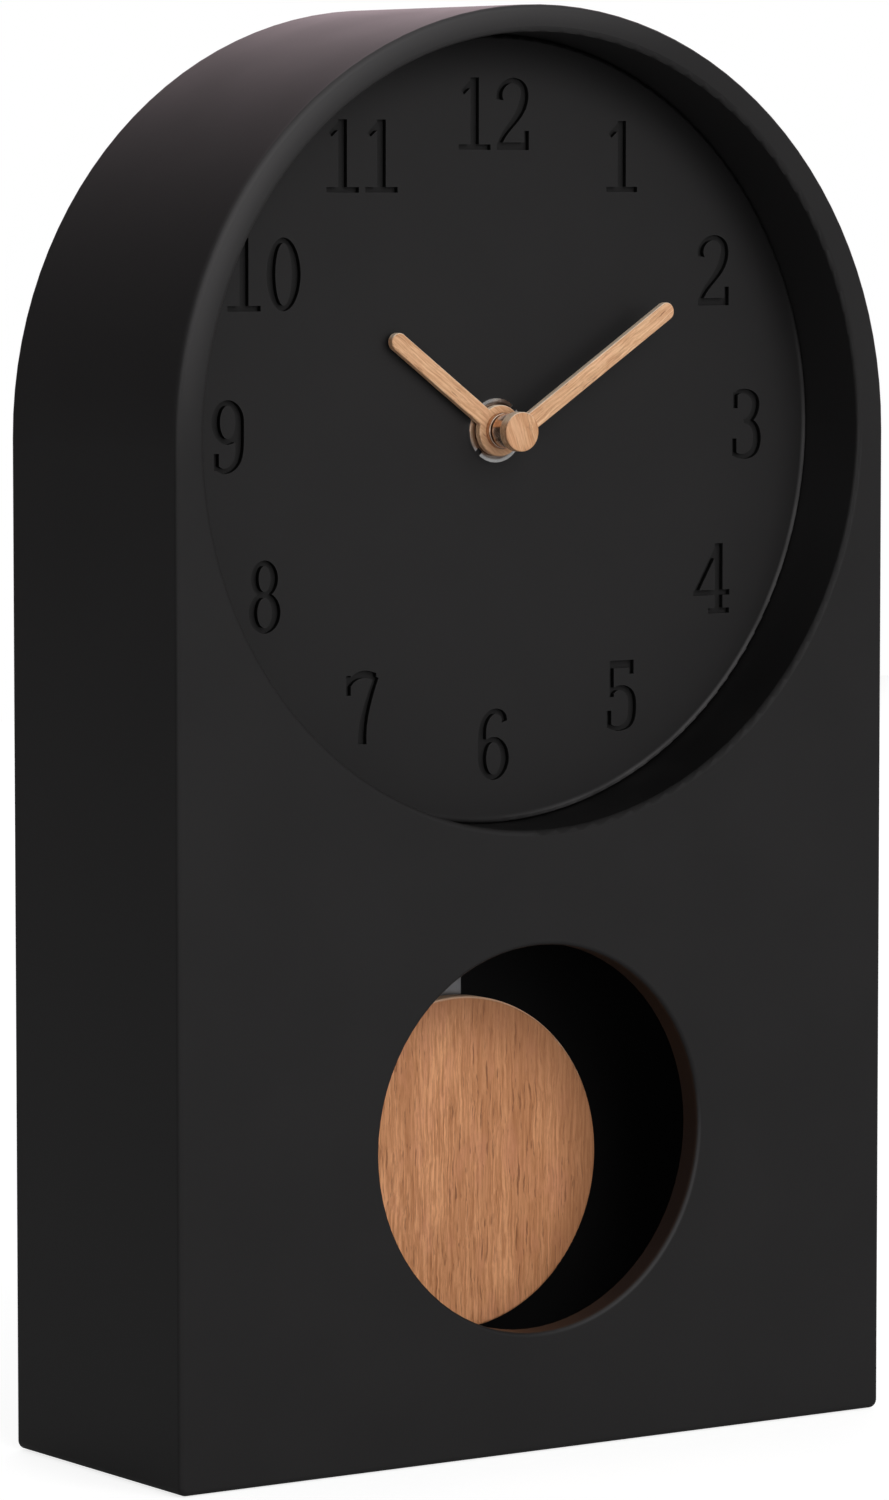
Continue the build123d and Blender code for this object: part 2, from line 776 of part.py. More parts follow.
def sideways(radius, left, right):
    """A round bar along X on the battery's axis."""
    middle = ((left + right) / 2, battery_axis_depth() - case_depth / 2, battery_height)
    return Pos(*middle) * Rot(0, 90, 0) * Cylinder(radius, right - left)


def make_battery():
    nub_end = housing_half_width - housing_wall - contact_thickness
    body_end = nub_end - battery_nub_length
    body = sideways(battery_radius, body_end - battery_body_length, body_end)
    body = fillet(body.edges().filter_by(GeomType.CIRCLE), contact_thickness)
    return body + sideways(battery_nub_radius, body_end, nub_end)


def contact_strip(side, wall):
    """The strip from a contact along the front plate and down to the circuit board."""
    low = contact_strip_height - contact_strip_width / 2
    high = contact_strip_height + contact_strip_width / 2
    inner = side * contact_foot - side * contact_strip_width / 2
    run = block(min(side * wall, inner), max(side * wall, inner), cavity_front,
                cavity_front + contact_thickness, low, high)
    left = side * contact_foot - contact_strip_width / 2
    board_top = cavity_front + board_thickness
    step_low = housing_low - housing_wall / 2
    down = block(left, left + contact_strip_width, cavity_front, board_top + contact_thickness, step_low, low)
    foot_low = step_low - 2 * contact_strip_width
    foot = block(left, left + contact_strip_width, board_top, board_top + contact_thickness, foot_low, step_low)
    return run + down + foot


def make_contact_plus():
    wall = housing_half_width - housing_wall
    depth = battery_axis_depth()
    plate = block(wall - contact_thickness, wall, cavity_front, depth + contact_width / 2,
                  battery_height - contact_width / 2, battery_height + contact_width / 2)
    low = contact_strip_height - contact_strip_width / 2
    leg = block(wall - contact_thickness, wall, cavity_front, cavity_front + contact_strip_width,
                low, battery_height)
    return plate + leg + contact_strip(1, wall)


def make_contact_minus():
    """A leaf bowed out to the flat end of the battery."""
    wall = housing_half_width - housing_wall
    battery_end = wall - contact_thickness - battery_nub_length - battery_body_length
    low = battery_height - contact_width / 2
    high = battery_height + contact_width / 2
    bulge = wall + battery_end
    outer = ThreePointArc((-wall, low), (bulge - wall, battery_height), (-wall, high))
    inner_low = low + 2 * contact_thickness
    inner_high = high - 2 * contact_thickness
    inner = ThreePointArc(
        (-wall, inner_high), (bulge - wall - contact_thickness, battery_height), (-wall, inner_low))
    ends = Line((-wall, high), (-wall, inner_high)) + Line((-wall, inner_low), (-wall, low))
    depth = battery_axis_depth()
    leaf = slab(make_face(outer + inner + ends), cavity_front, depth + contact_width / 2)
    strip_low = contact_strip_height - contact_strip_width / 2
    leg = block(-wall, -wall + contact_thickness, cavity_front, cavity_front + contact_strip_width,
                strip_low, low + contact_thickness)
    return leaf + leg + contact_strip(-1, wall)


def board_span():
    """The lowest and highest edge of the circuit board."""
    return unit_low + unit_wall + board_margin, housing_low - housing_wall / 2 - board_margin / 2


def make_circuit_board():
    low, high = board_span()
    return block(-board_half_width, board_half_width, cavity_front, cavity_front + board_thickness, low, high)


def drive_coil_centre():
    return (0, pivot_height - magnet_drop)


def make_chip():
    low, high = board_span()
    top = cavity_front + board_thickness
    centre = (0, low + chip_radius + board_margin)
    drop = disc(centre, chip_radius, top, top + chip_height)
    return fillet(circles_at(drop, top + chip_height, chip_radius), chip_height * chip_edge_share)


def make_crystal():
    low, high = board_span()
    level = cavity_front + board_thickness + crystal_radius - case_depth / 2
    middle = (crystal_side, level, low + crystal_length)
    return Pos(*middle) * Cylinder(crystal_radius, crystal_length)


def make_drive_coil():
    front = cavity_front + board_thickness + chip_height + play
    return tube(drive_coil_centre(), drive_coil_radius, drive_coil_bore_radius, front, unit_cavity_back)


def make_stator():
    ring = Pos(*rotor_centre) * Circle(rotor_magnet_radius + stator_gap + stator_ring_wall)
    high = hands_height + stator_high
    low = hands_height + stator_low
    left = stator_left
    right = rotor_centre[0] + stator_band / 2
    half = stator_band / 2
    top_band = Pos((left + right) / 2, high) * Rectangle(right - left + stator_band, stator_band)
    low_band = Pos((left + stator_right) / 2, low) * Rectangle(stator_right - left + stator_band, stator_band)
    left_leg = Pos(left, (low + high) / 2) * Rectangle(stator_band, high - low + stator_band)
    right_leg = Pos(right, (high + rotor_centre[1]) / 2) * Rectangle(
        stator_band, high - rotor_centre[1] + 2 * half)
    plate = ring + top_band + low_band + left_leg + right_leg
    plate -= Pos(*rotor_centre) * Circle(rotor_magnet_radius + stator_gap)
    return slab(plate, stator_front, stator_back)


def coil_bar(radius, left, right):
    """A round bar along X on the axis of the stator's coil."""
    depth = (stator_front + stator_back) / 2 - case_depth / 2
    middle = ((left + right) / 2, depth, hands_height + stator_high)
    return Pos(*middle) * Rot(0, 90, 0) * Cylinder(radius, right - left)


def coil_core_radius():
    """The bobbin's tube goes round the flat band of the stator."""
    return hypot(stator_band, stator_thickness) / 2 + coil_bore_clearance + coil_tube_wall


def make_coil_bobbin():
    bobbin = coil_bar(coil_core_radius(), coil_left, coil_right)
    bobbin += coil_bar(coil_flange_radius, coil_left, coil_left + coil_flange_thickness)
    bobbin += coil_bar(coil_flange_radius, coil_right - coil_flange_thickness, coil_right)
    high = hands_height + stator_high
    half = stator_band / 2 + coil_bore_clearance
    slot = block(coil_left - overrun, coil_right + overrun, stator_front - coil_bore_clearance,
                 stator_back + coil_bore_clearance, high - half, high + half)
    return bobbin - slot


def make_coil_winding():
    left = coil_left + coil_flange_thickness
    right = coil_right - coil_flange_thickness
    return coil_bar(coil_radius, left, right) - coil_bar(coil_core_radius(), left - overrun, right + overrun)


# Hands and motion work

def hand_outline(angle, length, hub_radius):
    """A straight hand with a round tip and a round hub; the angle is clockwise from twelve."""
    reach = length - hand_width / 2
    bar = Pos(0, reach / 2) * Rectangle(hand_width, reach)
    stick = bar + Pos(0, reach) * Circle(hand_width / 2) + Circle(hub_radius)
    return Pos(*hands_centre) * Rot(0, 0, -angle) * stick


def eased(shape, depth):
    return fillet(edges_at(shape, depth), hand_edge_radius)


def make_hour_hand():
    hand = slab(hand_outline(hour_hand_angle, hour_hand_length, hour_hub_radius), hour_hand_front, hour_hand_back)
    hand = eased(hand, hour_hand_front)
    return hand - disc(hands_centre, hour_tube_radius, hour_hand_front - overrun, hour_hand_back + overrun)


def make_hour_bush():
    front = hour_hand_front - hour_bush_height
    bush = tube(hands_centre, hour_bush_radius, hour_tube_radius, front, hour_hand_front)
    return eased_rim(bush, front, hour_bush_radius)


def eased_rim(shape, depth, radius):
    return fillet(circles_at(shape, depth, radius), hand_edge_radius)


def make_hour_wheel():
    solid = wheel(hands_centre, hour_teeth, hour_module, hour_turn, hour_wheel_front, hour_wheel_back)
    tube_front = hour_hand_front - hour_bush_height + play
    solid += disc(hands_centre, hour_tube_radius, tube_front, hour_wheel_front)
    bore = minute_arbor_radius + bearing_clearance
    return solid - disc(hands_centre, bore, tube_front - overrun, hour_wheel_back + overrun)


def make_minute_hand():
    outline = hand_outline(minute_hand_angle, minute_hand_length, minute_hub_radius)
    hand = slab(outline, minute_hand_front, minute_hand_back)
    hand = eased(hand, minute_hand_front)
    return hand - disc(hands_centre, minute_arbor_radius, minute_hand_front - overrun, minute_hand_back + overrun)


def make_minute_bush():
    back = minute_hand_back + minute_bush_height
    bush = tube(hands_centre, minute_bush_radius, minute_arbor_radius, minute_hand_back, back)
    return eased_rim(bush, back, minute_bush_radius)


def make_minute_cap():
    cap = disc(hands_centre, minute_hub_radius, minute_cap_front, minute_hand_front)
    return eased_rim(cap, minute_cap_front, minute_hub_radius)


def make_minute_arbor():
    solid = disc(hands_centre, minute_arbor_radius, minute_hand_front, minute_arbor_back)
    solid += wheel(hands_centre, cannon_teeth, motion_module, cannon_turn, motion_wheel_front, motion_wheel_back)
    collar_front = centre_wheel_back + play / 2
    solid += disc(hands_centre, clutch_collar_radius, collar_front, minute_arbor_back)
    bore = arbor_radius + bearing_clearance
    return solid - disc(hands_centre, bore, minute_arbor_back - minute_arbor_bore_depth, minute_arbor_back + overrun)


def make_motion_wheel():
    solid = wheel(motion_centre, motion_teeth, motion_module, motion_turn, motion_wheel_front, motion_wheel_back)
    solid += wheel(motion_centre, motion_pinion_teeth, hour_module, motion_pinion_turn,
                   hour_wheel_front - pinion_overhang / 2, motion_wheel_front)
    return solid + arbor(motion_centre)


def make_setting_knob():
    solid = wheel(knob_centre, knob_teeth, motion_module, knob_turn, motion_wheel_front, motion_wheel_back)
    reach = bearing_depth - 2 * bearing_clearance
    solid += disc(knob_centre, arbor_radius, cavity_front - reach, motion_wheel_front)
    knob_front = movement_back + play
    knob_back = knob_front + knob_height
    solid += disc(knob_centre, knob_shaft_radius, motion_wheel_back, knob_front)
    head = disc(knob_centre, knob_radius, knob_front, knob_back)
    head = fillet(circles_at(head, knob_back, knob_radius), knob_groove_radius)
    for groove in range(knob_grooves):
        centre = along(knob_centre, groove * 360 / knob_grooves, knob_radius + knob_groove_radius / 4)
        head -= disc(centre, knob_groove_radius, knob_front - overrun, knob_back + overrun)
    return solid + head


# Going train

def make_centre_wheel():
    solid = wheel(hands_centre, centre_teeth, centre_module, centre_turn, centre_wheel_front, centre_wheel_back)
    bore = minute_arbor_radius + bearing_clearance
    return solid - disc(hands_centre, bore, centre_wheel_front - overrun, centre_wheel_back + overrun)


def make_third_wheel():
    solid = wheel(third_centre, third_teeth, third_module, third_turn, third_wheel_front, third_wheel_back)
    solid += wheel(third_centre, third_pinion_teeth, centre_module, third_pinion_turn,
                   centre_wheel_front - pinion_overhang, third_wheel_front)
    return solid + arbor(third_centre)


def make_fourth_wheel():
    solid = wheel(hands_centre, fourth_teeth, fourth_module, fourth_turn, fourth_wheel_front, fourth_wheel_back)
    solid += wheel(hands_centre, fourth_pinion_teeth, third_module, fourth_pinion_turn,
                   third_wheel_front - pinion_overhang / 2, fourth_wheel_front)
    front = minute_arbor_back - minute_arbor_bore_depth + 2 * bearing_clearance
    return solid + disc(hands_centre, arbor_radius, front, cavity_back + bearing_depth - 2 * bearing_clearance)


def make_fifth_wheel():
    solid = wheel(fifth_centre, fifth_teeth, fifth_module, fifth_turn, fifth_wheel_front, fifth_wheel_back)
    solid += wheel(fifth_centre, fifth_pinion_teeth, fourth_module, fifth_pinion_turn,
                   fourth_wheel_front - pinion_overhang, fifth_wheel_front)
    return solid + arbor(fifth_centre)


def make_rotor_pinion():
    solid = wheel(rotor_centre, rotor_pinion_teeth, fifth_module, rotor_pinion_turn,
                  fifth_wheel_front - pinion_overhang, rotor_magnet_front)
    return solid + arbor(rotor_centre)


def make_rotor_magnet():
    return tube(rotor_centre, rotor_magnet_radius, arbor_radius, rotor_magnet_front, rotor_magnet_back)


# Pendulum

def make_pivot_pin():
    end = hanger_front + pivot_boss_height + play + retainer_thickness + play
    return disc(pivot_centre, pivot_pin_radius, unit_back - pivot_pin_anchor, end)


def make_pivot_retainer():
    front = hanger_front + pivot_boss_height + play
    return tube(pivot_centre, retainer_radius, pivot_pin_radius, front, front + retainer_thickness)


def make_pendulum_hanger():
    high = pivot_height
    low = pivot_height - hanger_length
    plate = Pos(0, (low + high) / 2) * Rectangle(hanger_width, high - low)
    plate += Pos(*pivot_centre) * Circle(hanger_width / 2)
    solid = slab(plate, hanger_front, hanger_back)
    solid += disc(pivot_centre, pivot_boss_radius, hanger_front, hanger_front + pivot_boss_height)
    solid -= disc(pivot_centre, pivot_pin_radius + bearing_clearance, hanger_front - overrun,
                  hanger_front + pivot_boss_height + overrun)
    solid -= disc(magnet_centre(), magnet_radius, hanger_front - overrun, hanger_front + magnet_thickness)
    hole = small_screw_radius + screw_clearance
    return solid - disc(rod_screw_centre(), hole, hanger_front - overrun, hanger_back + overrun)


def magnet_centre():
    return (0, pivot_height - magnet_drop)


def rod_top():
    return pivot_height - hanger_length + rod_overlap


def rod_screw_centre():
    return (0, pivot_height - hanger_length + rod_overlap / 3)


def bob_screw_places():
    return [(0, bob_centre_height + side * bob_screw_spacing / 2) for side in (-1, 1)]


def make_pendulum_magnet():
    return disc(magnet_centre(), magnet_radius, hanger_front, hanger_front + magnet_thickness)


def make_pendulum_rod():
    low = bob_centre_height - rod_foot
    high = rod_top()
    outline = Pos(0, (low + high) / 2) * RectangleRounded(rod_width, high - low, rod_width / 4)
    rod = slab(outline, rod_front, rod_front + rod_thickness)
    for centre in bob_screw_places() + [rod_screw_centre()]:
        hole = small_screw_radius + screw_clearance
        rod -= disc(centre, hole, rod_front - overrun, rod_front + rod_thickness + overrun)
    return rod


def make_pendulum_bob():
    centre = (0, bob_centre_height)
    bob = disc(centre, bob_radius, bob_front, rod_front)
    bob = fillet(circles_at(bob, bob_front, bob_radius) + circles_at(bob, rod_front, bob_radius), bob_edge_radius)
    for place in bob_screw_places():
        hole = small_screw_radius + screw_clearance
        bob -= disc(place, hole, rod_front - small_screw_length, rod_front + overrun)
    return bob


def small_screw(centre):
    return screw(centre, rod_front + rod_thickness, small_screw_radius, small_screw_length,
                 small_screw_head_radius, small_screw_head_height)


def make_bob_screws():
    return Compound(children=[small_screw(centre) for centre in bob_screw_places()])


def make_rod_screw():
    return small_screw(rod_screw_centre())


nodes = {
    "case_shell": make_case_shell,
    "dial_plate": make_dial_plate,
    "dial_screws": make_dial_screws,
    "back_panel": make_back_panel,
    "back_panel_screws": make_panel_screws,
    "movement_gasket": make_gasket,
    "movement_front_plate": make_movement_front,
    "movement_back_housing": make_movement_back,
    "threaded_bushing": make_threaded_bushing,
    "fixing_nut": make_fixing_nut,
    "battery": make_battery,
    "battery_contact_plus": make_contact_plus,
    "battery_contact_minus": make_contact_minus,
    "circuit_board": make_circuit_board,
    "circuit_chip": make_chip,
    "quartz_crystal": make_crystal,
    "stator": make_stator,
    "stator_coil_bobbin": make_coil_bobbin,
    "stator_coil_winding": make_coil_winding,
    "pendulum_drive_coil": make_drive_coil,
    "pendulum_pivot_pin": make_pivot_pin,
    "pivot_retainer": make_pivot_retainer,
    "rotor_pinion": make_rotor_pinion,
    "rotor_magnet": make_rotor_magnet,
    "fifth_wheel": make_fifth_wheel,
    "fourth_wheel": make_fourth_wheel,
    "third_wheel": make_third_wheel,
    "centre_wheel": make_centre_wheel,
    "minute_arbor": make_minute_arbor,
    "motion_wheel": make_motion_wheel,
    "hour_wheel": make_hour_wheel,
    "setting_knob": make_setting_knob,
    "hour_hand": make_hour_hand,
    "hour_hand_bush": make_hour_bush,
    "minute_hand": make_minute_hand,
    "minute_hand_bush": make_minute_bush,
    "minute_hand_cap": make_minute_cap,
    "pendulum_hanger": make_pendulum_hanger,
    "pendulum_magnet": make_pendulum_magnet,
    "pendulum_rod": make_pendulum_rod,
    "pendulum_bob": make_pendulum_bob,
    "bob_screws": make_bob_screws,
    "rod_screw": make_rod_screw,
}

for name, make in nodes.items():
    solid = make()
    export_step(solid, f"parts/{name}.step")
    print(name, round(solid.volume, 3))
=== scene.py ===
from math import cos, pi, radians, sin

import bpy
import numpy as np
from mathutils import Matrix, Vector


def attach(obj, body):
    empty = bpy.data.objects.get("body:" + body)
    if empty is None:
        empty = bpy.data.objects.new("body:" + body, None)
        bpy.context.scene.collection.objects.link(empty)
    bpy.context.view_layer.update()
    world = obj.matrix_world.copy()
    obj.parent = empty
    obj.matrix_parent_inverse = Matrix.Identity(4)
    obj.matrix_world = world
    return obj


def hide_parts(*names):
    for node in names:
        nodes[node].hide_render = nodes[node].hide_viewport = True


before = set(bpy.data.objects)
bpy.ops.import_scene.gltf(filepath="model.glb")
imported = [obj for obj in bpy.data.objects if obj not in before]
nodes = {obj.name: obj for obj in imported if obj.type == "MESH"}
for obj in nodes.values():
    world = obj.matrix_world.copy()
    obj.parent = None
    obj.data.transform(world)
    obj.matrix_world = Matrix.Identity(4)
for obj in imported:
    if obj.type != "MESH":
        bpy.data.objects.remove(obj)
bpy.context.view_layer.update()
print("frame loaded:", len(nodes), "nodes")


# helpers for node trees

def addNode(tree, kind, inputs=None, **settings):
    # inputs: socket name or number -> a plain value, or another node's output socket
    node = tree.nodes.new(kind)
    for name, value in settings.items():
        setattr(node, name, value)
    for key, value in (inputs or {}).items():
        if isinstance(value, bpy.types.NodeSocket):
            tree.links.new(value, node.inputs[key])
        else:
            node.inputs[key].default_value = value
    return node


def feed(tree, node, **sources):
    # links each source to the input of that name, with _ for a space
    for name, source in sources.items():
        tree.links.new(source, node.inputs[name.replace("_", " ")])


def maths(tree, operation, first, second=0.0, third=0.0):
    inputs = {0: first, 1: second, 2: third}
    return addNode(tree, "ShaderNodeMath", inputs, operation=operation).outputs[0]


def product(tree, first, *others):
    for other in others:
        first = maths(tree, "MULTIPLY", first, other)
    return first


def vectorMaths(tree, operation, first, second=(0, 0, 0)):
    node = addNode(tree, "ShaderNodeVectorMath", {0: first, 1: second}, operation=operation)
    return node.outputs["Value" if operation in ("DOT_PRODUCT", "LENGTH") else "Vector"]


def smoothStep(tree, value, low, high, toLow=0.0, toHigh=1.0):
    node = addNode(tree, "ShaderNodeMapRange",
                   {"Value": value, "From Min": low, "From Max": high, "To Min": toLow, "To Max": toHigh},
                   interpolation_type="SMOOTHSTEP")
    return node.outputs["Result"]


def smoothFall(tree, value, low, high):
    return smoothStep(tree, value, low, high, 1.0, 0.0)


def mixColour(tree, factor, first, second):
    return addNode(tree, "ShaderNodeMix", {0: factor, 6: first, 7: second}, data_type="RGBA").outputs[2]


def noise(tree, vector, scale, detail=2.0, roughness=0.5, distortion=0.0):
    node = addNode(tree, "ShaderNodeTexNoise",
                   {"Vector": vector, "Scale": scale, "Detail": detail, "Roughness": roughness,
                    "Distortion": distortion})
    return node.outputs["Fac"]


def placed(tree, vector, location=(0, 0, 0), rotation=(0, 0, 0), scale=(1, 1, 1)):
    # the vector scaled, then turned, then moved
    node = addNode(tree, "ShaderNodeMapping",
                   {"Vector": vector, "Location": location, "Rotation": rotation, "Scale": scale})
    return node.outputs["Vector"]


def partsOf(tree, vector):
    return addNode(tree, "ShaderNodeSeparateXYZ", {0: vector}).outputs


def facing(tree, axis):
    # how far the surface looks along one axis of the world, from -1 to 1
    return partsOf(tree, addNode(tree, "ShaderNodeNewGeometry").outputs["Normal"])[axis]


def alignment(tree, vector, towards):
    # for a vector of length 1: 1 where it points towards, -1 where it points away
    return vectorMaths(tree, "DOT_PRODUCT", vector, tuple(Vector(towards).normalized()))


def aroundAxis(tree, place, height):
    # the place's parts, its offset from the axis along Y at this height, and its distance from that axis
    parts = partsOf(tree, place)
    offset = addNode(tree, "ShaderNodeCombineXYZ",
                     {"X": parts["X"], "Z": maths(tree, "SUBTRACT", parts["Z"], height)}).outputs[0]
    return parts, offset, vectorMaths(tree, "LENGTH", offset)


def colour(rgb):
    return (*rgb, 1.0)


def newGroup(name, inputs, outputs):
    # inputs: name -> default (a number, or 3 numbers for a vector, or 4 for a colour)
    group = bpy.data.node_groups.new(name, "ShaderNodeTree")
    for label, value in inputs.items():
        kind = "NodeSocketFloat"
        if hasattr(value, "__len__"):
            kind = "NodeSocketVector" if len(value) == 3 else "NodeSocketColor"
        socket = group.interface.new_socket(label, in_out="INPUT", socket_type=kind)
        socket.default_value = value
    for label, kind in outputs.items():
        group.interface.new_socket(label, in_out="OUTPUT", socket_type=kind)
    return group, addNode(group, "NodeGroupInput").outputs, addNode(group, "NodeGroupOutput")


def useGroup(tree, group, inputs):
    return addNode(tree, "ShaderNodeGroup", inputs, node_tree=group).outputs


# effects that several materials share

def makeMouldedGrain():
    # spark-eroded mould texture: fine rounded pits, and a broad slow change of gloss
    look = {"slowScale": 38.0, "toneRange": (0.3, 0.7), "changeGain": 2.0}
    group, given, put = newGroup(
        "mouldedGrain",
        {"Vector": (0, 0, 0), "Pit Size": 0.0005, "Roughness": 0.5, "Gloss Change": 0.05},
        {"Height": "NodeSocketFloat", "Roughness": "NodeSocketFloat", "Tone": "NodeSocketFloat"})
    pitsPerMetre = maths(group, "DIVIDE", 1.0, given["Pit Size"])
    pits = noise(group, given["Vector"], pitsPerMetre, detail=3.0, roughness=0.6)
    slow = noise(group, given["Vector"], look["slowScale"], detail=3.0, roughness=0.55)
    middled = maths(group, "SUBTRACT", slow, 0.5)
    change = product(group, middled, given["Gloss Change"], look["changeGain"])
    feed(group, put, Height=pits, Roughness=maths(group, "ADD", given["Roughness"], change),
         Tone=smoothStep(group, slow, *look["toneRange"]))
    return group


def makeEdgeRub():
    # edges: where the rounded normal leaves the true one, broken up by noise; the mask gives rubbed wear and
    # painted highlight along edges
    look = {"patchScale": 160.0, "patchRange": (0.35, 0.7, 0.25, 1.0), "turnRange": (0.02, 0.25)}
    group, given, put = newGroup(
        "edgeRub",
        {"Vector": (0, 0, 0), "Width": 0.0008, "Amount": 0.5},
        {"Mask": "NodeSocketFloat"})
    rounded = addNode(group, "ShaderNodeBevel", {"Radius": given["Width"]}, samples=4).outputs[0]
    true = addNode(group, "ShaderNodeNewGeometry").outputs["Normal"]
    turn = maths(group, "SUBTRACT", 1.0, vectorMaths(group, "DOT_PRODUCT", rounded, true))
    patches = noise(group, given["Vector"], look["patchScale"], detail=4.0)
    patches = smoothStep(group, patches, *look["patchRange"])
    turned = smoothStep(group, turn, *look["turnRange"])
    feed(group, put, Mask=product(group, turned, patches, given["Amount"]))
    return group


def makeSettledDust():
    # thin dust: only on faces that look up, in soft patches with a few larger specks
    look = {"upRange": (0.35, 0.95), "patchScale": 90.0, "patchRange": (0.35, 0.75), "patchAmount": 0.6,
            "speckScale": 2600.0, "speckRange": (0.66, 0.74), "speckAmount": 0.8}
    group, given, put = newGroup(
        "settledDust",
        {"Vector": (0, 0, 0), "Amount": 0.1},
        {"Mask": "NodeSocketFloat"})
    up = smoothStep(group, facing(group, "Z"), *look["upRange"])
    patches = noise(group, given["Vector"], look["patchScale"], detail=4.0)
    patches = product(group, smoothStep(group, patches, *look["patchRange"]), look["patchAmount"])
    specks = noise(group, given["Vector"], look["speckScale"], detail=1.0)
    specks = product(group, smoothStep(group, specks, *look["speckRange"]), look["speckAmount"])
    feed(group, put, Mask=product(group, up, maths(group, "ADD", patches, specks), given["Amount"]))
    return group


def makeWoodGrain():
    # oiled oak cut along the grain, which runs along the pattern's Z: slow bands, fibres stretched
    # twenty-five times, short ragged pores, cells that break the fibres up, and a reddish mottling
    look = {"swayScale": 130.0, "sway": (0.0012, 0.0012, 0.0),
            "fibreStretch": 0.04, "bandStretch": 0.10, "poreStretch": 0.07, "poreFineness": 1.1,
            "cellStretch": 0.35, "cellFineness": 0.9, "mottleStretch": 0.4, "mottleScale": 260.0,
            "gatherRange": (0.38, 0.6, 0.4, 1.0), "poreRange": (0.56, 0.68), "toneRange": (0.32, 0.68),
            "bandRange": (0.35, 0.68), "mottleRange": (0.48, 0.72), "mottleAmount": 0.4,
            "cellRange": (0.5, 0.75), "cellAmount": 0.3, "roughnessRange": (0.25, 0.75, 0.62, 0.48),
            "fibreHeight": 0.5, "poreDepth": 0.8, "cellHeight": 0.35}
    group, given, put = newGroup(
        "woodGrain",
        {"Vector": (0, 0, 0), "Pale": (0.66, 0.35, 0.19, 1), "Dark": (0.42, 0.2, 0.1, 1),
         "Pore": (0.2, 0.08, 0.035, 1), "Ruddy": (0.55, 0.25, 0.15, 1), "Fibre Size": 0.0006,
         "Band Size": 0.006, "Band Amount": 0.4, "Pore Amount": 0.6},
        {"Color": "NodeSocketColor", "Roughness": "NodeSocketFloat", "Height": "NodeSocketFloat"})
    place, dark = given["Vector"], given["Dark"]

    def stretched(vector, stretch, scale, **settings):
        return noise(group, placed(group, vector, scale=(1, 1, stretch)), scale, **settings)

    fine = maths(group, "DIVIDE", 1.0, given["Fibre Size"])
    broad = maths(group, "DIVIDE", 1.0, given["Band Size"])
    bend = addNode(group, "ShaderNodeTexNoise",
                   {"Vector": place, "Scale": look["swayScale"], "Detail": 2.0}).outputs["Color"]
    bend = vectorMaths(group, "SUBTRACT", bend, (0.5, 0.5, 0.5))
    swayed = vectorMaths(group, "ADD", place, vectorMaths(group, "MULTIPLY", bend, look["sway"]))
    fibres = stretched(swayed, look["fibreStretch"], fine, detail=5.0, roughness=0.66)
    bands = stretched(swayed, look["bandStretch"], broad, detail=2.0, distortion=0.35)
    pores = stretched(swayed, look["poreStretch"], product(group, fine, look["poreFineness"]),
                      detail=3.0, roughness=0.6)
    cells = stretched(place, look["cellStretch"], product(group, fine, look["cellFineness"]), detail=2.0)
    mottle = stretched(place, look["mottleStretch"], look["mottleScale"], detail=3.0)
    gather = smoothStep(group, bands, *look["gatherRange"])
    pores = product(group, smoothStep(group, pores, *look["poreRange"]), gather)
    base = mixColour(group, smoothStep(group, fibres, *look["toneRange"]), dark, given["Pale"])
    bandTone = product(group, smoothStep(group, bands, *look["bandRange"]), given["Band Amount"])
    base = mixColour(group, bandTone, base, dark)
    ruddy = product(group, smoothStep(group, mottle, *look["mottleRange"]), look["mottleAmount"])
    base = mixColour(group, ruddy, base, given["Ruddy"])
    cellTone = product(group, smoothStep(group, cells, *look["cellRange"]), look["cellAmount"])
    base = mixColour(group, cellTone, base, dark)
    base = mixColour(group, product(group, pores, given["Pore Amount"]), base, given["Pore"])
    relief = maths(group, "SUBTRACT", product(group, fibres, look["fibreHeight"]),
                   product(group, pores, look["poreDepth"]))
    relief = maths(group, "ADD", relief, product(group, cells, look["cellHeight"]))
    feed(group, put, Color=base, Roughness=smoothStep(group, fibres, *look["roughnessRange"]), Height=relief)
    return group


def makeTurnedLines():
    # fine lines left by the tool: rings round the axis along Y through the pattern's centre
    look = {"smudgeScale": 420.0, "smudgeMiddle": 0.4}
    group, given, put = newGroup(
        "turnedLines",
        {"Vector": (0, 0, 0), "Line Size": 0.0001, "Roughness": 0.2, "Change": 0.08},
        {"Height": "NodeSocketFloat", "Roughness": "NodeSocketFloat"})
    parts, _, radius = aroundAxis(group, given["Vector"], 0.0)
    profile = addNode(group, "ShaderNodeCombineXYZ", {"X": radius, "Y": parts["Y"]}).outputs[0]
    rings = noise(group, profile, maths(group, "DIVIDE", 1.0, given["Line Size"]), detail=3.0)
    smudge = noise(group, given["Vector"], look["smudgeScale"], detail=3.0)
    ringGloss = product(group, maths(group, "SUBTRACT", rings, 0.5), given["Change"])
    smudgeGloss = product(group, maths(group, "SUBTRACT", smudge, look["smudgeMiddle"]), given["Change"])
    change = maths(group, "ADD", ringGloss, smudgeGloss)
    feed(group, put, Height=rings, Roughness=maths(group, "ADD", given["Roughness"], change))
    return group


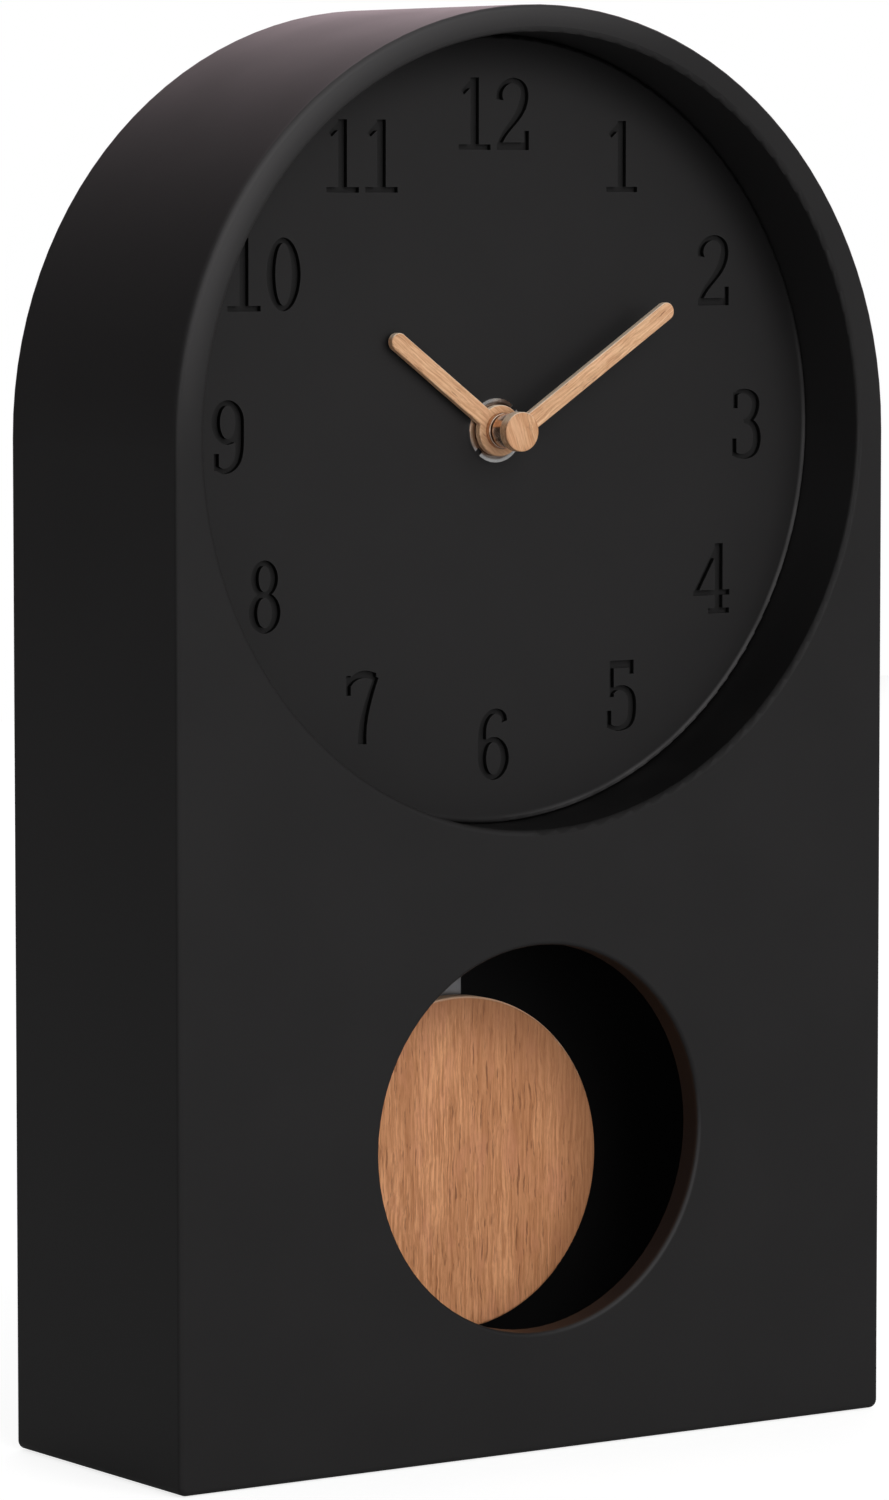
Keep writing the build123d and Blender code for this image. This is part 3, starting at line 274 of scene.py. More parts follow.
def makeDrawnLines():
    # rolled or drawn metal: lines along the pattern's Z
    look = {"stretch": 0.012, "smudgeScale": 150.0}
    group, given, put = newGroup(
        "drawnLines",
        {"Vector": (0, 0, 0), "Line Size": 0.0002, "Roughness": 0.3, "Change": 0.1},
        {"Height": "NodeSocketFloat", "Roughness": "NodeSocketFloat"})
    stretched = placed(group, given["Vector"], scale=(1, 1, look["stretch"]))
    linesPerMetre = maths(group, "DIVIDE", 1.0, given["Line Size"])
    lines = noise(group, stretched, linesPerMetre, detail=4.0, roughness=0.6)
    smudge = noise(group, given["Vector"], look["smudgeScale"], detail=3.0)
    change = maths(group, "ADD", maths(group, "SUBTRACT", lines, 0.5), maths(group, "SUBTRACT", smudge, 0.5))
    change = product(group, change, given["Change"])
    feed(group, put, Height=lines, Roughness=maths(group, "ADD", given["Roughness"], change))
    return group


mouldedGrain = makeMouldedGrain()
edgeRub = makeEdgeRub()
settledDust = makeSettledDust()
woodGrain = makeWoodGrain()
turnedLines = makeTurnedLines()
drawnLines = makeDrawnLines()
print("node groups built")


# materials

def newMaterial(name):
    material = bpy.data.materials.new(name)
    material.use_nodes = True
    tree = material.node_tree
    place = addNode(tree, "ShaderNodeTexCoord").outputs["Object"]
    return material, tree, tree.nodes["Principled BSDF"], place


def setShader(shader, **values):
    # constants, each on the shader's own socket
    for name, value in values.items():
        shader.inputs[name.replace("_", " ")].default_value = value


def bumpInto(tree, shader, height, distance):
    bump = addNode(tree, "ShaderNodeBump", {"Height": height, "Distance": distance, "Strength": 1.0})
    feed(tree, shader, Normal=bump.outputs[0])


def openingTone(tree, place, base, look):
    # round one opening: painted shade darkens its wall lower down, and a painted highlight makes the front
    # beside it paler on one side
    parts, offset, radius = aroundAxis(tree, place, look["height"])
    wallFrom, wallTo = (look["radius"] + step for step in look["wallSteps"])
    onWall = product(tree, smoothStep(tree, parts["Y"], *look["wallStart"]),
                     smoothFall(tree, radius, wallFrom, wallTo))
    low = smoothFall(tree, parts["Z"], *look["darkRange"])
    base = mixColour(tree, product(tree, onWall, low), base, colour(look["dark"]))
    rim = smoothStep(tree, radius, *look["rimRange"])
    near = smoothFall(tree, radius, look["rimEnd"], look["rimEnd"] + look["rimFade"])
    beside = maths(tree, "SUBTRACT", 1.0, onWall)
    outward = vectorMaths(tree, "NORMALIZE", offset)
    side = smoothStep(tree, alignment(tree, outward, look["towards"]), *look["sideRange"])
    above = smoothStep(tree, parts["Z"], look["rimLow"], look["rimLow"] + look["rimLowFade"])
    before = smoothFall(tree, parts["Y"], *look["frontEnd"])
    return mixColour(tree, product(tree, rim, near, beside, side, above, before), base, colour(look["rim"]))


def dialTone(tree, place, base, look):
    # painted shade darkens the sunk figures, most of all their walls; a painted shadow darkens the top under
    # the rim; a painted highlight makes the lower right edge paler
    parts, offset, radius = aroundAxis(tree, place, handsHeight)
    inside = smoothFall(tree, radius, *look["figuresEnd"])
    sunk = product(tree, smoothStep(tree, parts["Y"], *look["sunkRange"]), inside)
    wall = smoothFall(tree, maths(tree, "ABSOLUTE", facing(tree, "Y")), *look["wallFacing"])
    figures = mixColour(tree, wall, colour(look["sunk"]), colour(look["sunkWall"]))
    base = mixColour(tree, sunk, base, figures)
    outward = vectorMaths(tree, "NORMALIZE", offset)
    # painted highlight along the dial's lower right edge, in patches
    worn = smoothStep(tree, radius, *look["wornRange"])
    patchy = smoothStep(tree, noise(tree, place, look["patchScale"], detail=4.0), *look["patchRange"])
    side = smoothStep(tree, alignment(tree, outward, look["wornTowards"]), *look["wornSide"])
    base = mixColour(tree, product(tree, worn, patchy, side), base, colour(look["worn"]))
    # painted shadow at the top of the dial, under the rim
    side = smoothStep(tree, alignment(tree, outward, look["topTowards"]), *look["topSide"])
    top = product(tree, smoothStep(tree, radius, *look["topRange"]), side)
    return mixColour(tree, top, base, colour(look["top"]))


def mouldedPlastic(name, look):
    # matte moulded plastic with paler edges, partly rubbed wear and partly painted highlight, more of them
    # higher up, and a trace of dust
    material, tree, shader, place = newMaterial(name)
    grain = useGroup(tree, mouldedGrain, {"Vector": place, "Pit Size": look["pitSize"],
                                          "Roughness": look["roughness"], "Gloss Change": look["glossChange"]})
    rise = smoothStep(tree, partsOf(tree, place)["Z"], *look["rubRise"], look["rubLow"], 1.0)
    rub = useGroup(tree, edgeRub, {"Vector": place, "Width": look["rubWidth"],
                                   "Amount": product(tree, rise, look["rubAmount"])})
    dust = useGroup(tree, settledDust, {"Vector": place, "Amount": look["dust"]})
    base = mixColour(tree, grain["Tone"], colour(look["base"]), colour(look["baseShift"]))
    # painted shade, painted shadow and painted highlight on the dial, and round the case's openings
    if "wear" in look:
        base = dialTone(tree, place, base, look["wear"])
    for opening in look["openings"]:
        base = openingTone(tree, place, base, opening)
    # paler edges: partly rubbed wear, partly painted highlight
    base = mixColour(tree, rub["Mask"], base, colour(look["rubColour"]))
    base = mixColour(tree, dust["Mask"], base, colour(look["dustColour"]))
    gloss = maths(tree, "SUBTRACT", grain["Roughness"], product(tree, rub["Mask"], look["rubGloss"]))
    feed(tree, shader, Base_Color=base, Roughness=gloss)
    bumpInto(tree, shader, grain["Height"], look["pitDepth"])
    setShader(shader, Specular_IOR_Level=look["specular"])
    return material


def bareMetal(name, look, lineGroup):
    # bare metal: lines left by the tool, faint stains, and a painted highlight on the outer edge where look
    # has one
    material, tree, shader, place = newMaterial(name)
    pattern = placed(tree, place, location=look["centre"], rotation=look["turn"])
    lines = useGroup(tree, lineGroup, {"Vector": pattern, "Line Size": look["lineSize"],
                                       "Roughness": look["roughness"], "Change": look["change"]})
    stain = smoothStep(tree, noise(tree, place, look["stainScale"], detail=3.0), *look["stainRange"])
    base = mixColour(tree, stain, colour(look["base"]), colour(look["baseShift"]))
    # painted highlight on the outer edge
    if "edge" in look:
        radius = aroundAxis(tree, place, handsHeight)[2]
        base = mixColour(tree, smoothStep(tree, radius, *look["edgeRange"]), base, colour(look["edge"]))
    feed(tree, shader, Base_Color=base, Roughness=lines["Roughness"])
    bumpInto(tree, shader, lines["Height"], look["lineDepth"])
    setShader(shader, Metallic=1.0)
    return material


def oiledOak(name, look):
    # oiled oak: grain turned to run along the piece; edges and upward faces a little paler, a painted
    # highlight
    material, tree, shader, place = newMaterial(name)
    turned = placed(tree, place, location=look["shift"], rotation=(0, look["grainTurn"], 0))
    wood = useGroup(tree, woodGrain, {
        "Vector": turned, "Pale": colour(look["pale"]), "Dark": colour(look["dark"]),
        "Pore": colour(look["pore"]), "Ruddy": colour(look["ruddy"]), "Fibre Size": look["fibreSize"],
        "Band Size": look["bandSize"], "Band Amount": look["bandAmount"], "Pore Amount": look["poreAmount"]})
    base = wood["Color"]
    if "heart" in look:
        # painted shade: darker away from a point in the face, or towards it where the range falls
        away = vectorMaths(tree, "MULTIPLY", placed(tree, place, location=look["heartShift"]), (1, 0, 1))
        away = vectorMaths(tree, "LENGTH", away)
        amount = smoothStep(tree, away, *look["heartRange"], 0.0, look["heartAmount"])
        base = mixColour(tree, amount, base, colour(look["heart"]))
    # painted highlight on the edges and on the faces that look up
    rub = useGroup(tree, edgeRub,
                   {"Vector": place, "Width": look["edgeWidth"], "Amount": look["edgeAmount"]})
    upper = smoothStep(tree, facing(tree, "Z"), *look["upperRange"], 0.0, look["upperAmount"])
    base = mixColour(tree, maths(tree, "MAXIMUM", rub["Mask"], upper), base, colour(look["edge"]))
    feed(tree, shader, Base_Color=base, Roughness=wood["Roughness"])
    bumpInto(tree, shader, wood["Height"], look["grainDepth"])
    setShader(shader, Specular_IOR_Level=look["specular"])
    return material


handsHeight = 0.191             # the hands' axis stands over X 0 at this height

# both openings: where the wall starts behind the front face, and how softly each tone ends
openingLook = {"wallStart": (-0.0285, -0.0275), "wallSteps": (0.0001, 0.0004), "frontEnd": (-0.0285, -0.0270),
               "rimFade": 0.0003, "rimLowFade": 0.03}
# each opening: the dark colour is painted shade on its wall, lower down; the rim colour is painted highlight
# on the front beside it, at the dial's upper left and the window's lower right
dialOpening = dict(openingLook, height=handsHeight, radius=0.074, darkRange=(0.130, 0.180),
                   dark=(0.0046, 0.0044, 0.0045), rim=(0.056, 0.054, 0.055),
                   rimRange=(0.0742, 0.0786, 0.25, 1.0), rimEnd=0.090, rimLow=0.17,
                   towards=(-0.55, 0, 0.84), sideRange=(0.45, 0.97, 0.04, 1.0))
windowOpening = dict(openingLook, height=0.059, radius=0.0365, darkRange=(0.08, 0.12),
                     dark=(0.0020, 0.0050, 0.0078), rim=(0.046, 0.044, 0.045),
                     rimRange=(0.0364, 0.0366, 0.4, 1.0), rimEnd=0.0368, rimLow=-0.05,
                     towards=(0.75, 0, -0.66), sideRange=(0.5, 1.0, 0.0, 1.0))
caseLook = {
    "base": (0.0178, 0.0172, 0.0175), "baseShift": (0.0194, 0.0187, 0.0190),
    "pitSize": 0.00042, "pitDepth": 0.000012, "roughness": 0.46, "glossChange": 0.05, "specular": 0.15,
    # paler edges, more of them higher up: partly rubbed wear, partly painted highlight
    "rubWidth": 0.0009, "rubAmount": 0.35, "rubColour": (0.062, 0.060, 0.061), "rubGloss": 0.15,
    "rubRise": (0.06, 0.18), "rubLow": 0.25, "dust": 0.02, "dustColour": (0.30, 0.28, 0.26),
    "openings": (dialOpening, windowOpening),
}
# painted light on the dial: painted shade in the sunk figures, darkest on their walls; painted highlight along
# the lower right edge; painted shadow at the top under the rim
dialWear = {
    "sunk": (0.0130, 0.0126, 0.0128), "sunkWall": (0.0025, 0.0025, 0.0025), "sunkRange": (-0.0129, -0.0126),
    "figuresEnd": (0.0712, 0.0713), "wallFacing": (0.3, 0.8),
    "worn": (0.098, 0.095, 0.096), "wornRange": (0.0722, 0.0730), "wornTowards": (0.80, 0, -0.60),
    "wornSide": (0.5, 1.0, 0.05, 1.0), "patchScale": 70.0, "patchRange": (0.3, 0.6, 0.55, 1.0),
    "top": (0.0075, 0.0072, 0.0074), "topRange": (0.0635, 0.0735), "topTowards": (0.42, 0, 0.91),
    "topSide": (0.42, 0.9),
}
# on the dial the paler edges round the figures are painted highlight
dialLook = dict(caseLook, openings=(), wear=dialWear, base=(0.0182, 0.0176, 0.0179),
                baseShift=(0.0196, 0.0189, 0.0192), pitSize=0.00035, roughness=0.54, rubWidth=0.00028,
                rubAmount=0.25, rubLow=1.0, rubColour=(0.075, 0.073, 0.074), dust=0.0)
backLook = dict(caseLook, openings=(), pitSize=0.0009, pitDepth=0.00004, roughness=0.58, rubWidth=0.0004,
                rubAmount=0.5)
movementLook = dict(caseLook, openings=(), base=(0.022, 0.022, 0.024), baseShift=(0.027, 0.027, 0.029),
                    pitSize=0.0006, pitDepth=0.00002, roughness=0.5, specular=0.35, rubWidth=0.0004,
                    rubAmount=0.5, rubColour=(0.09, 0.09, 0.095), dust=0.04)
knobLook = dict(movementLook, base=(0.52, 0.52, 0.53), baseShift=(0.58, 0.58, 0.59), roughness=0.42,
                specular=0.45, rubColour=(0.7, 0.7, 0.7))
rubberLook = dict(caseLook, openings=(), base=(0.02, 0.02, 0.02), baseShift=(0.03, 0.03, 0.03),
                  pitSize=0.0003, pitDepth=0.00003, roughness=0.78, specular=0.3, dust=0.05)
wheelLook = dict(caseLook, openings=(), base=(0.74, 0.72, 0.66), baseShift=(0.80, 0.78, 0.73),
                 pitSize=0.0003, pitDepth=0.000006, roughness=0.36, glossChange=0.06, specular=0.5,
                 rubWidth=0.00015, rubAmount=0.25, rubLow=1.0, rubColour=(0.88, 0.86, 0.82), dust=0.0)

chromeLook = {
    "base": (0.80, 0.80, 0.82), "baseShift": (0.72, 0.72, 0.74), "centre": (0, 0, -handsHeight),
    "turn": (0, 0, 0), "lineSize": 0.00007, "lineDepth": 0.0000015, "roughness": 0.10, "change": 0.10,
    "stainScale": 500.0, "stainRange": (0.35, 0.7),
}
# the chrome nut's dark brown base is painted reflection of the dark recess and the wood round it, and its
# bright outer rim painted highlight
nutLook = dict(chromeLook, base=(0.42, 0.35, 0.31), baseShift=(0.30, 0.24, 0.21), roughness=0.16,
               edge=(0.95, 0.93, 0.92), edgeRange=(0.0052, 0.0056))
# the hub's copper-brown base is painted reflection of the wooden hands round it
nickelLook = dict(chromeLook, base=(0.62, 0.45, 0.34), baseShift=(0.46, 0.31, 0.23), roughness=0.24)
brassLook = dict(chromeLook, base=(0.72, 0.50, 0.22), baseShift=(0.60, 0.38, 0.16), roughness=0.22,
                 lineSize=0.00025, lineDepth=0.00002)
screwLook = dict(chromeLook, base=(0.50, 0.51, 0.53), baseShift=(0.38, 0.39, 0.41), centre=(0, 0, 0),
                 lineSize=0.0002, lineDepth=0.000004, roughness=0.3, change=0.18)

steelLook = {
    "base": (0.56, 0.57, 0.58), "baseShift": (0.44, 0.45, 0.46), "centre": (0, 0, 0),
    "turn": (0, radians(90), 0), "lineSize": 0.00018, "lineDepth": 0.000004, "roughness": 0.28,
    "change": 0.16, "stainScale": 260.0, "stainRange": (0.35, 0.7),
}
# the rod's base is darker than bare aluminium, partly for a darker metal and partly as painted shade for the
# shadow inside the case
aluminiumLook = dict(steelLook, base=(0.30, 0.30, 0.31), baseShift=(0.25, 0.25, 0.26), turn=(0, 0, 0),
                     lineSize=0.0003, roughness=0.30, change=0.12)
contactLook = dict(steelLook, base=(0.70, 0.68, 0.62), baseShift=(0.58, 0.55, 0.49), turn=(0, 0, 0),
                   roughness=0.22)

# the paler colour on the wood's edges and upward faces is painted highlight
handLook = {
    "pale": (0.96, 0.620, 0.370), "dark": (0.60, 0.310, 0.160), "pore": (0.33, 0.145, 0.068),
    "ruddy": (0.80, 0.43, 0.255), "edge": (1.0, 0.82, 0.64), "fibreSize": 0.00038, "bandSize": 0.0026,
    "bandAmount": 0.45, "poreAmount": 0.75, "edgeWidth": 0.0003, "edgeAmount": 0.9,
    "upperRange": (0.25, 0.7), "upperAmount": 0.85, "grainDepth": 0.00004, "grainTurn": 0.0,
    "shift": (0, 0, -handsHeight), "specular": 0.4,
}
# each hand's grain is turned clockwise from twelve, as the hand stands at rest
# painted shadow of the cap on the hour hand's boss, darkest just below and right of the axis
hourHandLook = dict(handLook, grainTurn=-radians(306.5), heart=(0.38, 0.19, 0.095), heartAmount=0.55,
                    heartShift=(-0.0015, 0, 0.0015 - handsHeight), heartRange=(0.0072, 0.0036))
minuteHandLook = dict(handLook, grainTurn=-radians(57))
capLook = dict(handLook, grainTurn=radians(17), shift=(0.003, 0, -0.15), bandSize=0.0016, bandAmount=0.75,
               dark=(0.56, 0.265, 0.125), pore=(0.26, 0.100, 0.042), poreAmount=0.9, fibreSize=0.0005)
# painted shade darkens the bob towards its right end and top, where the window's edge shades it
bobLook = dict(handLook, pale=(0.95, 0.462, 0.230), dark=(0.50, 0.205, 0.086), pore=(0.17, 0.055, 0.021),
               ruddy=(0.74, 0.315, 0.178), fibreSize=0.00052, bandSize=0.0046, bandAmount=0.5, poreAmount=0.7,
               shift=(0.0, 0, -0.0511), edge=(0.98, 0.66, 0.45), edgeWidth=0.0005,
               heart=(0.42, 0.178, 0.082), heartAmount=0.6, heartShift=(0.008, 0, -0.0451),
               heartRange=(0.027, 0.040))


def makeBatterySleeve():
    # printed sleeve between bare steel ends: a coppery band at the plus end, blue-grey on the rest
    look = {"left": -0.0238, "right": 0.0241, "band": 0.0125, "main": (0.15, 0.27, 0.42),
            "cap": (0.50, 0.23, 0.09), "metal": (0.60, 0.60, 0.61), "line": (0.62, 0.62, 0.60),
            "lineWidth": 0.0004, "softness": 0.00004, "flakeScale": 5200.0, "flakeAmount": 0.18,
            "sleeveDull": 0.55, "scuffScale": 700.0, "scuffStretch": 0.1, "scuffRange": (0.5, 0.75),
            "scuffRoughness": 0.2, "scuffDepth": 0.000006, "roughness": 0.24, "coat": 0.5,
            "coatRoughness": 0.15}
    material, tree, shader, place = newMaterial("batterySleeve")
    along = partsOf(tree, place)["X"]
    soft, band, left, right = look["softness"], look["band"], look["left"], look["right"]
    lineFrom = band - look["lineWidth"]
    cap = smoothStep(tree, along, band - soft, band + soft)
    line = maths(tree, "SUBTRACT", smoothStep(tree, along, lineFrom - soft, lineFrom), cap)
    inside = product(tree, smoothStep(tree, along, left - soft, left + soft),
                     smoothFall(tree, along, right - soft, right + soft))
    flake = product(tree, noise(tree, place, look["flakeScale"], detail=2.0), look["flakeAmount"])
    sleeve = mixColour(tree, cap, colour(look["main"]), colour(look["cap"]))
    sleeve = mixColour(tree, line, sleeve, colour(look["line"]))
    sleeve = mixColour(tree, flake, sleeve, colour(look["metal"]))
    base = mixColour(tree, inside, colour(look["metal"]), sleeve)
    metal = maths(tree, "SUBTRACT", 1.0, product(tree, inside, look["sleeveDull"]))
    drawn = placed(tree, place, scale=(look["scuffStretch"], 1, 1))
    scuffs = smoothStep(tree, noise(tree, drawn, look["scuffScale"], detail=4.0), *look["scuffRange"])
    roughness = maths(tree, "ADD", look["roughness"], product(tree, scuffs, look["scuffRoughness"]))
    feed(tree, shader, Base_Color=base, Metallic=metal, Roughness=roughness,
         Coat_Weight=product(tree, inside, look["coat"]))
    bumpInto(tree, shader, scuffs, look["scuffDepth"])
    setShader(shader, Coat_Roughness=look["coatRoughness"])
    return material


def makeBoardGreen():
    # glass-fibre board under green lacquer: paler lines where the copper runs, woven ground
    look = {"ground": (0.012, 0.085, 0.035), "trace": (0.030, 0.17, 0.065), "pad": (0.62, 0.60, 0.52),
            "traceSize": 430.0, "traceStart": (0.30, 0.34), "traceEnd": (0.46, 0.50), "traceHeight": 0.6,
            "padSize": 290.0, "padEnd": (0.13, 0.16), "padMetal": 0.9, "depth": 0.00003,
            "weaveSize": 2400.0, "weaveRoughness": 0.08, "roughness": 0.25}
    material, tree, shader, place = newMaterial("circuitBoardGreen")
    cells = addNode(tree, "ShaderNodeTexVoronoi",
                    {"Vector": place, "Scale": look["traceSize"], "Randomness": 0.35},
                    distance="CHEBYCHEV", feature="F1").outputs["Distance"]
    traces = product(tree, smoothStep(tree, cells, *look["traceStart"]),
                     smoothFall(tree, cells, *look["traceEnd"]))
    dots = addNode(tree, "ShaderNodeTexVoronoi",
                   {"Vector": place, "Scale": look["padSize"], "Randomness": 0.6},
                   feature="F1").outputs["Distance"]
    pads = smoothFall(tree, dots, *look["padEnd"])
    weave = addNode(tree, "ShaderNodeTexWave",
                    {"Vector": place, "Scale": look["weaveSize"], "Distortion": 1.0},
                    wave_type="BANDS", bands_direction="DIAGONAL").outputs["Fac"]
    base = mixColour(tree, traces, colour(look["ground"]), colour(look["trace"]))
    base = mixColour(tree, pads, base, colour(look["pad"]))
    roughness = maths(tree, "ADD", look["roughness"], product(tree, weave, look["weaveRoughness"]))
    feed(tree, shader, Base_Color=base, Metallic=product(tree, pads, look["padMetal"]), Roughness=roughness)
    relief = maths(tree, "ADD", product(tree, traces, look["traceHeight"]), pads)
    bumpInto(tree, shader, relief, look["depth"])
    return material


def makeChipBlack():
    # epoxy package: fine filler grain, a duller patch
    look = {"base": (0.012, 0.012, 0.013), "speck": (0.05, 0.05, 0.052), "speckScale": 9000.0,
            "speckRange": (0.55, 0.75), "depth": 0.000006, "dullScale": 600.0, "dullRoughness": 0.15,
            "roughness": 0.42}
    material, tree, shader, place = newMaterial("chipEpoxy")
    specks = smoothStep(tree, noise(tree, place, look["speckScale"], detail=2.0), *look["speckRange"])
    dull = product(tree, noise(tree, place, look["dullScale"], detail=3.0), look["dullRoughness"])
    feed(tree, shader, Base_Color=mixColour(tree, specks, colour(look["base"]), colour(look["speck"])),
         Roughness=maths(tree, "ADD", look["roughness"], dull))
    bumpInto(tree, shader, specks, look["depth"])
    return material


def makeMagnetDark():
    # sintered ferrite: near black, fine grains with small bright chips
    look = {"base": (0.020, 0.020, 0.022), "grain": (0.075, 0.075, 0.08), "grainScale": 4200.0,
            "brightRange": (0.82, 0.95), "brightGloss": 0.2, "roughness": 0.5, "depth": 0.000008,
            "metallic": 0.25}
    material, tree, shader, place = newMaterial("ferriteDark")
    grains = addNode(tree, "ShaderNodeTexVoronoi", {"Vector": place, "Scale": look["grainScale"]},
                     feature="F1").outputs["Color"]
    chip = addNode(tree, "ShaderNodeSeparateColor", {0: grains}).outputs[0]
    bright = smoothStep(tree, chip, *look["brightRange"])
    gloss = product(tree, bright, look["brightGloss"])
    feed(tree, shader, Base_Color=mixColour(tree, bright, colour(look["base"]), colour(look["grain"])),
         Roughness=maths(tree, "SUBTRACT", look["roughness"], gloss))
    bumpInto(tree, shader, chip, look["depth"])
    setShader(shader, Metallic=look["metallic"])
    return material


def makeCopperWire():
    # enamelled copper: warm metal under clear lacquer, each turn a little different
    look = {"base": (0.70, 0.29, 0.13), "baseShift": (0.50, 0.17, 0.07), "turnScale": 1500.0,
            "shiftRange": (0.3, 0.7), "roughness": 0.24, "shadeRoughness": 0.12, "depth": 0.000008,
            "coat": 0.6, "coatRoughness": 0.12}
    material, tree, shader, place = newMaterial("enamelledCopper")
    shade = noise(tree, place, look["turnScale"], detail=3.0)
    shift = smoothStep(tree, shade, *look["shiftRange"])
    rough = product(tree, shade, look["shadeRoughness"])
    feed(tree, shader, Base_Color=mixColour(tree, shift, colour(look["base"]), colour(look["baseShift"])),
         Roughness=maths(tree, "ADD", look["roughness"], rough))
    bumpInto(tree, shader, shade, look["depth"])
    setShader(shader, Metallic=1.0, Coat_Weight=look["coat"], Coat_Roughness=look["coatRoughness"])
    return material


# by the material slots that model.glb names
materials = {
    "case_black": mouldedPlastic("caseBlack", caseLook),
    "dial_black": mouldedPlastic("dialBlack", dialLook),
    "back_black": mouldedPlastic("backBlack", backLook),
    "movement_plastic": mouldedPlastic("movementPlastic", movementLook),
    "knob_plastic": mouldedPlastic("knobPlastic", knobLook),
    "rubber": mouldedPlastic("gasketRubber", rubberLook),
    "wheel_plastic": mouldedPlastic("wheelPlastic", wheelLook),
    "nut_chrome": bareMetal("nutChrome", nutLook, turnedLines),
    "hub_nickel": bareMetal("hubNickel", nickelLook, turnedLines),
    "bushing_brass": bareMetal("bushingBrass", brassLook, turnedLines),
    "screw_steel": bareMetal("screwSteel", screwLook, turnedLines),
    "steel": bareMetal("stampedSteel", steelLook, drawnLines),
    "rod_aluminium": bareMetal("rodAluminium", aluminiumLook, drawnLines),
    "contact_nickel": bareMetal("contactNickel", contactLook, drawnLines),
    "bob_wood": oiledOak("bobOak", bobLook),
    "battery_wrap": makeBatterySleeve(),
    "board_green": makeBoardGreen(),
    "chip_black": makeChipBlack(),
    "magnet_dark": makeMagnetDark(),
    "copper_wire": makeCopperWire(),
}
# wood whose grain runs its own way
ownWood = {
    "hour_hand": oiledOak("hourHandOak", hourHandLook),
    "minute_hand": oiledOak("minuteHandOak", minuteHandLook),
    "minute_hand_cap": oiledOak("handCapOak", capLook),
}
for name, node in nodes.items():
    for holder in node.material_slots:
        slot = holder.material.name.split(".")[0]
        holder.material = ownWood.get(name) or materials[slot]
print("materials set on", len(nodes), "nodes")


# new pieces, each a surface over a grid of two parameters or an outline lifted off a face

def meshFromGrid(name, points):
    # points[i, j]: step i along and j across a surface that closes both ways; quads join neighbours
    rows, columns = points.shape[:2]
    i, j = np.meshgrid(np.arange(rows), np.arange(columns), indexing="ij")
    nextRow = (i + 1) % rows
    nextColumn = (j + 1) % columns
    quads = np.stack([i * columns + j, i * columns + nextColumn,
                      nextRow * columns + nextColumn, nextRow * columns + j], axis=-1).reshape(-1, 4)
    mesh = bpy.data.meshes.new(name)
    mesh.vertices.add(rows * columns)
    mesh.vertices.foreach_set("co", points.reshape(-1).astype(np.float32))
    mesh.loops.add(quads.size)
    mesh.loops.foreach_set("vertex_index", quads.reshape(-1).astype(np.int32))
    mesh.polygons.add(len(quads))
    mesh.polygons.foreach_set("loop_start", np.arange(0, quads.size, 4, dtype=np.int32))
    mesh.polygons.foreach_set("use_smooth", np.ones(len(quads), dtype=bool))
    mesh.update(calc_edges=True)
    mesh.validate()
    return mesh


def raisedPlate(outline, back, rise):
    # a flat closed outline in X and Z, anticlockwise as seen from behind, lifted off the plane Y = back
    count = len(outline)
    low = np.column_stack([outline[:, 0], np.full(count, back), outline[:, 1]])
    high = low + (0, rise, 0)
    step = np.arange(count)
    after = (step + 1) % count
    walls = np.column_stack([step, after, after + count, step + count])
    return np.concatenate([low, high]), [*walls, step + count, step[::-1]]


def meshFromPlates(name, plates):
    points, faces, start = [], [], 0
    for platePoints, plateFaces in plates:
        points.append(platePoints)
        faces += [(face + start).tolist() for face in plateFaces]
        start += len(platePoints)
    mesh = bpy.data.meshes.new(name)
    mesh.from_pydata(np.concatenate(points).tolist(), [], faces)
    mesh.update()
    return mesh


def addPiece(name, mesh, slot, body):
    piece = bpy.data.objects.new(name, mesh)
    bpy.context.scene.collection.objects.link(piece)
    mesh.materials.append(materials[slot])
    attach(piece, body)
    return piece


def makeStatorWinding():
    # a sleeve round the axis along X: radius = outer - ripple * (1 - |sin(pi * turns * u + theta / 2)|)
    # where u runs along the coil and theta round it, so that the ripple is a helix
    look = {"centreY": 0.00375, "centreZ": handsHeight + 0.022, "left": -0.0192, "right": -0.0068,
            "outer": 0.0031, "inner": 0.00235, "ripple": 0.00011, "turns": 42, "around": 48, "perTurn": 8}
    centreY, centreZ, inner = look["centreY"], look["centreZ"], look["inner"]
    u = np.linspace(0, 1, look["turns"] * look["perTurn"] + 1)[:, None]
    theta = np.linspace(0, 2 * pi, look["around"], endpoint=False)[None, :]
    wave = np.abs(np.sin(pi * look["turns"] * u + theta / 2))
    outer = look["outer"] - look["ripple"] * (1 - wave)
    x = look["left"] + (look["right"] - look["left"]) * u + 0 * theta
    coil = np.stack([x, centreY + outer * np.cos(theta), centreZ + outer * np.sin(theta)], -1)
    ends = x[[-1, 0]]
    bore = np.stack([ends, centreY + inner * np.cos(theta) + 0 * ends,
                     centreZ + inner * np.sin(theta) + 0 * ends], -1)
    mesh = meshFromGrid("statorWindingTurns", np.concatenate([coil, bore], axis=0))
    piece = addPiece("statorWindingTurns", mesh, "copper_wire", "case")
    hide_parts("stator_coil_winding")


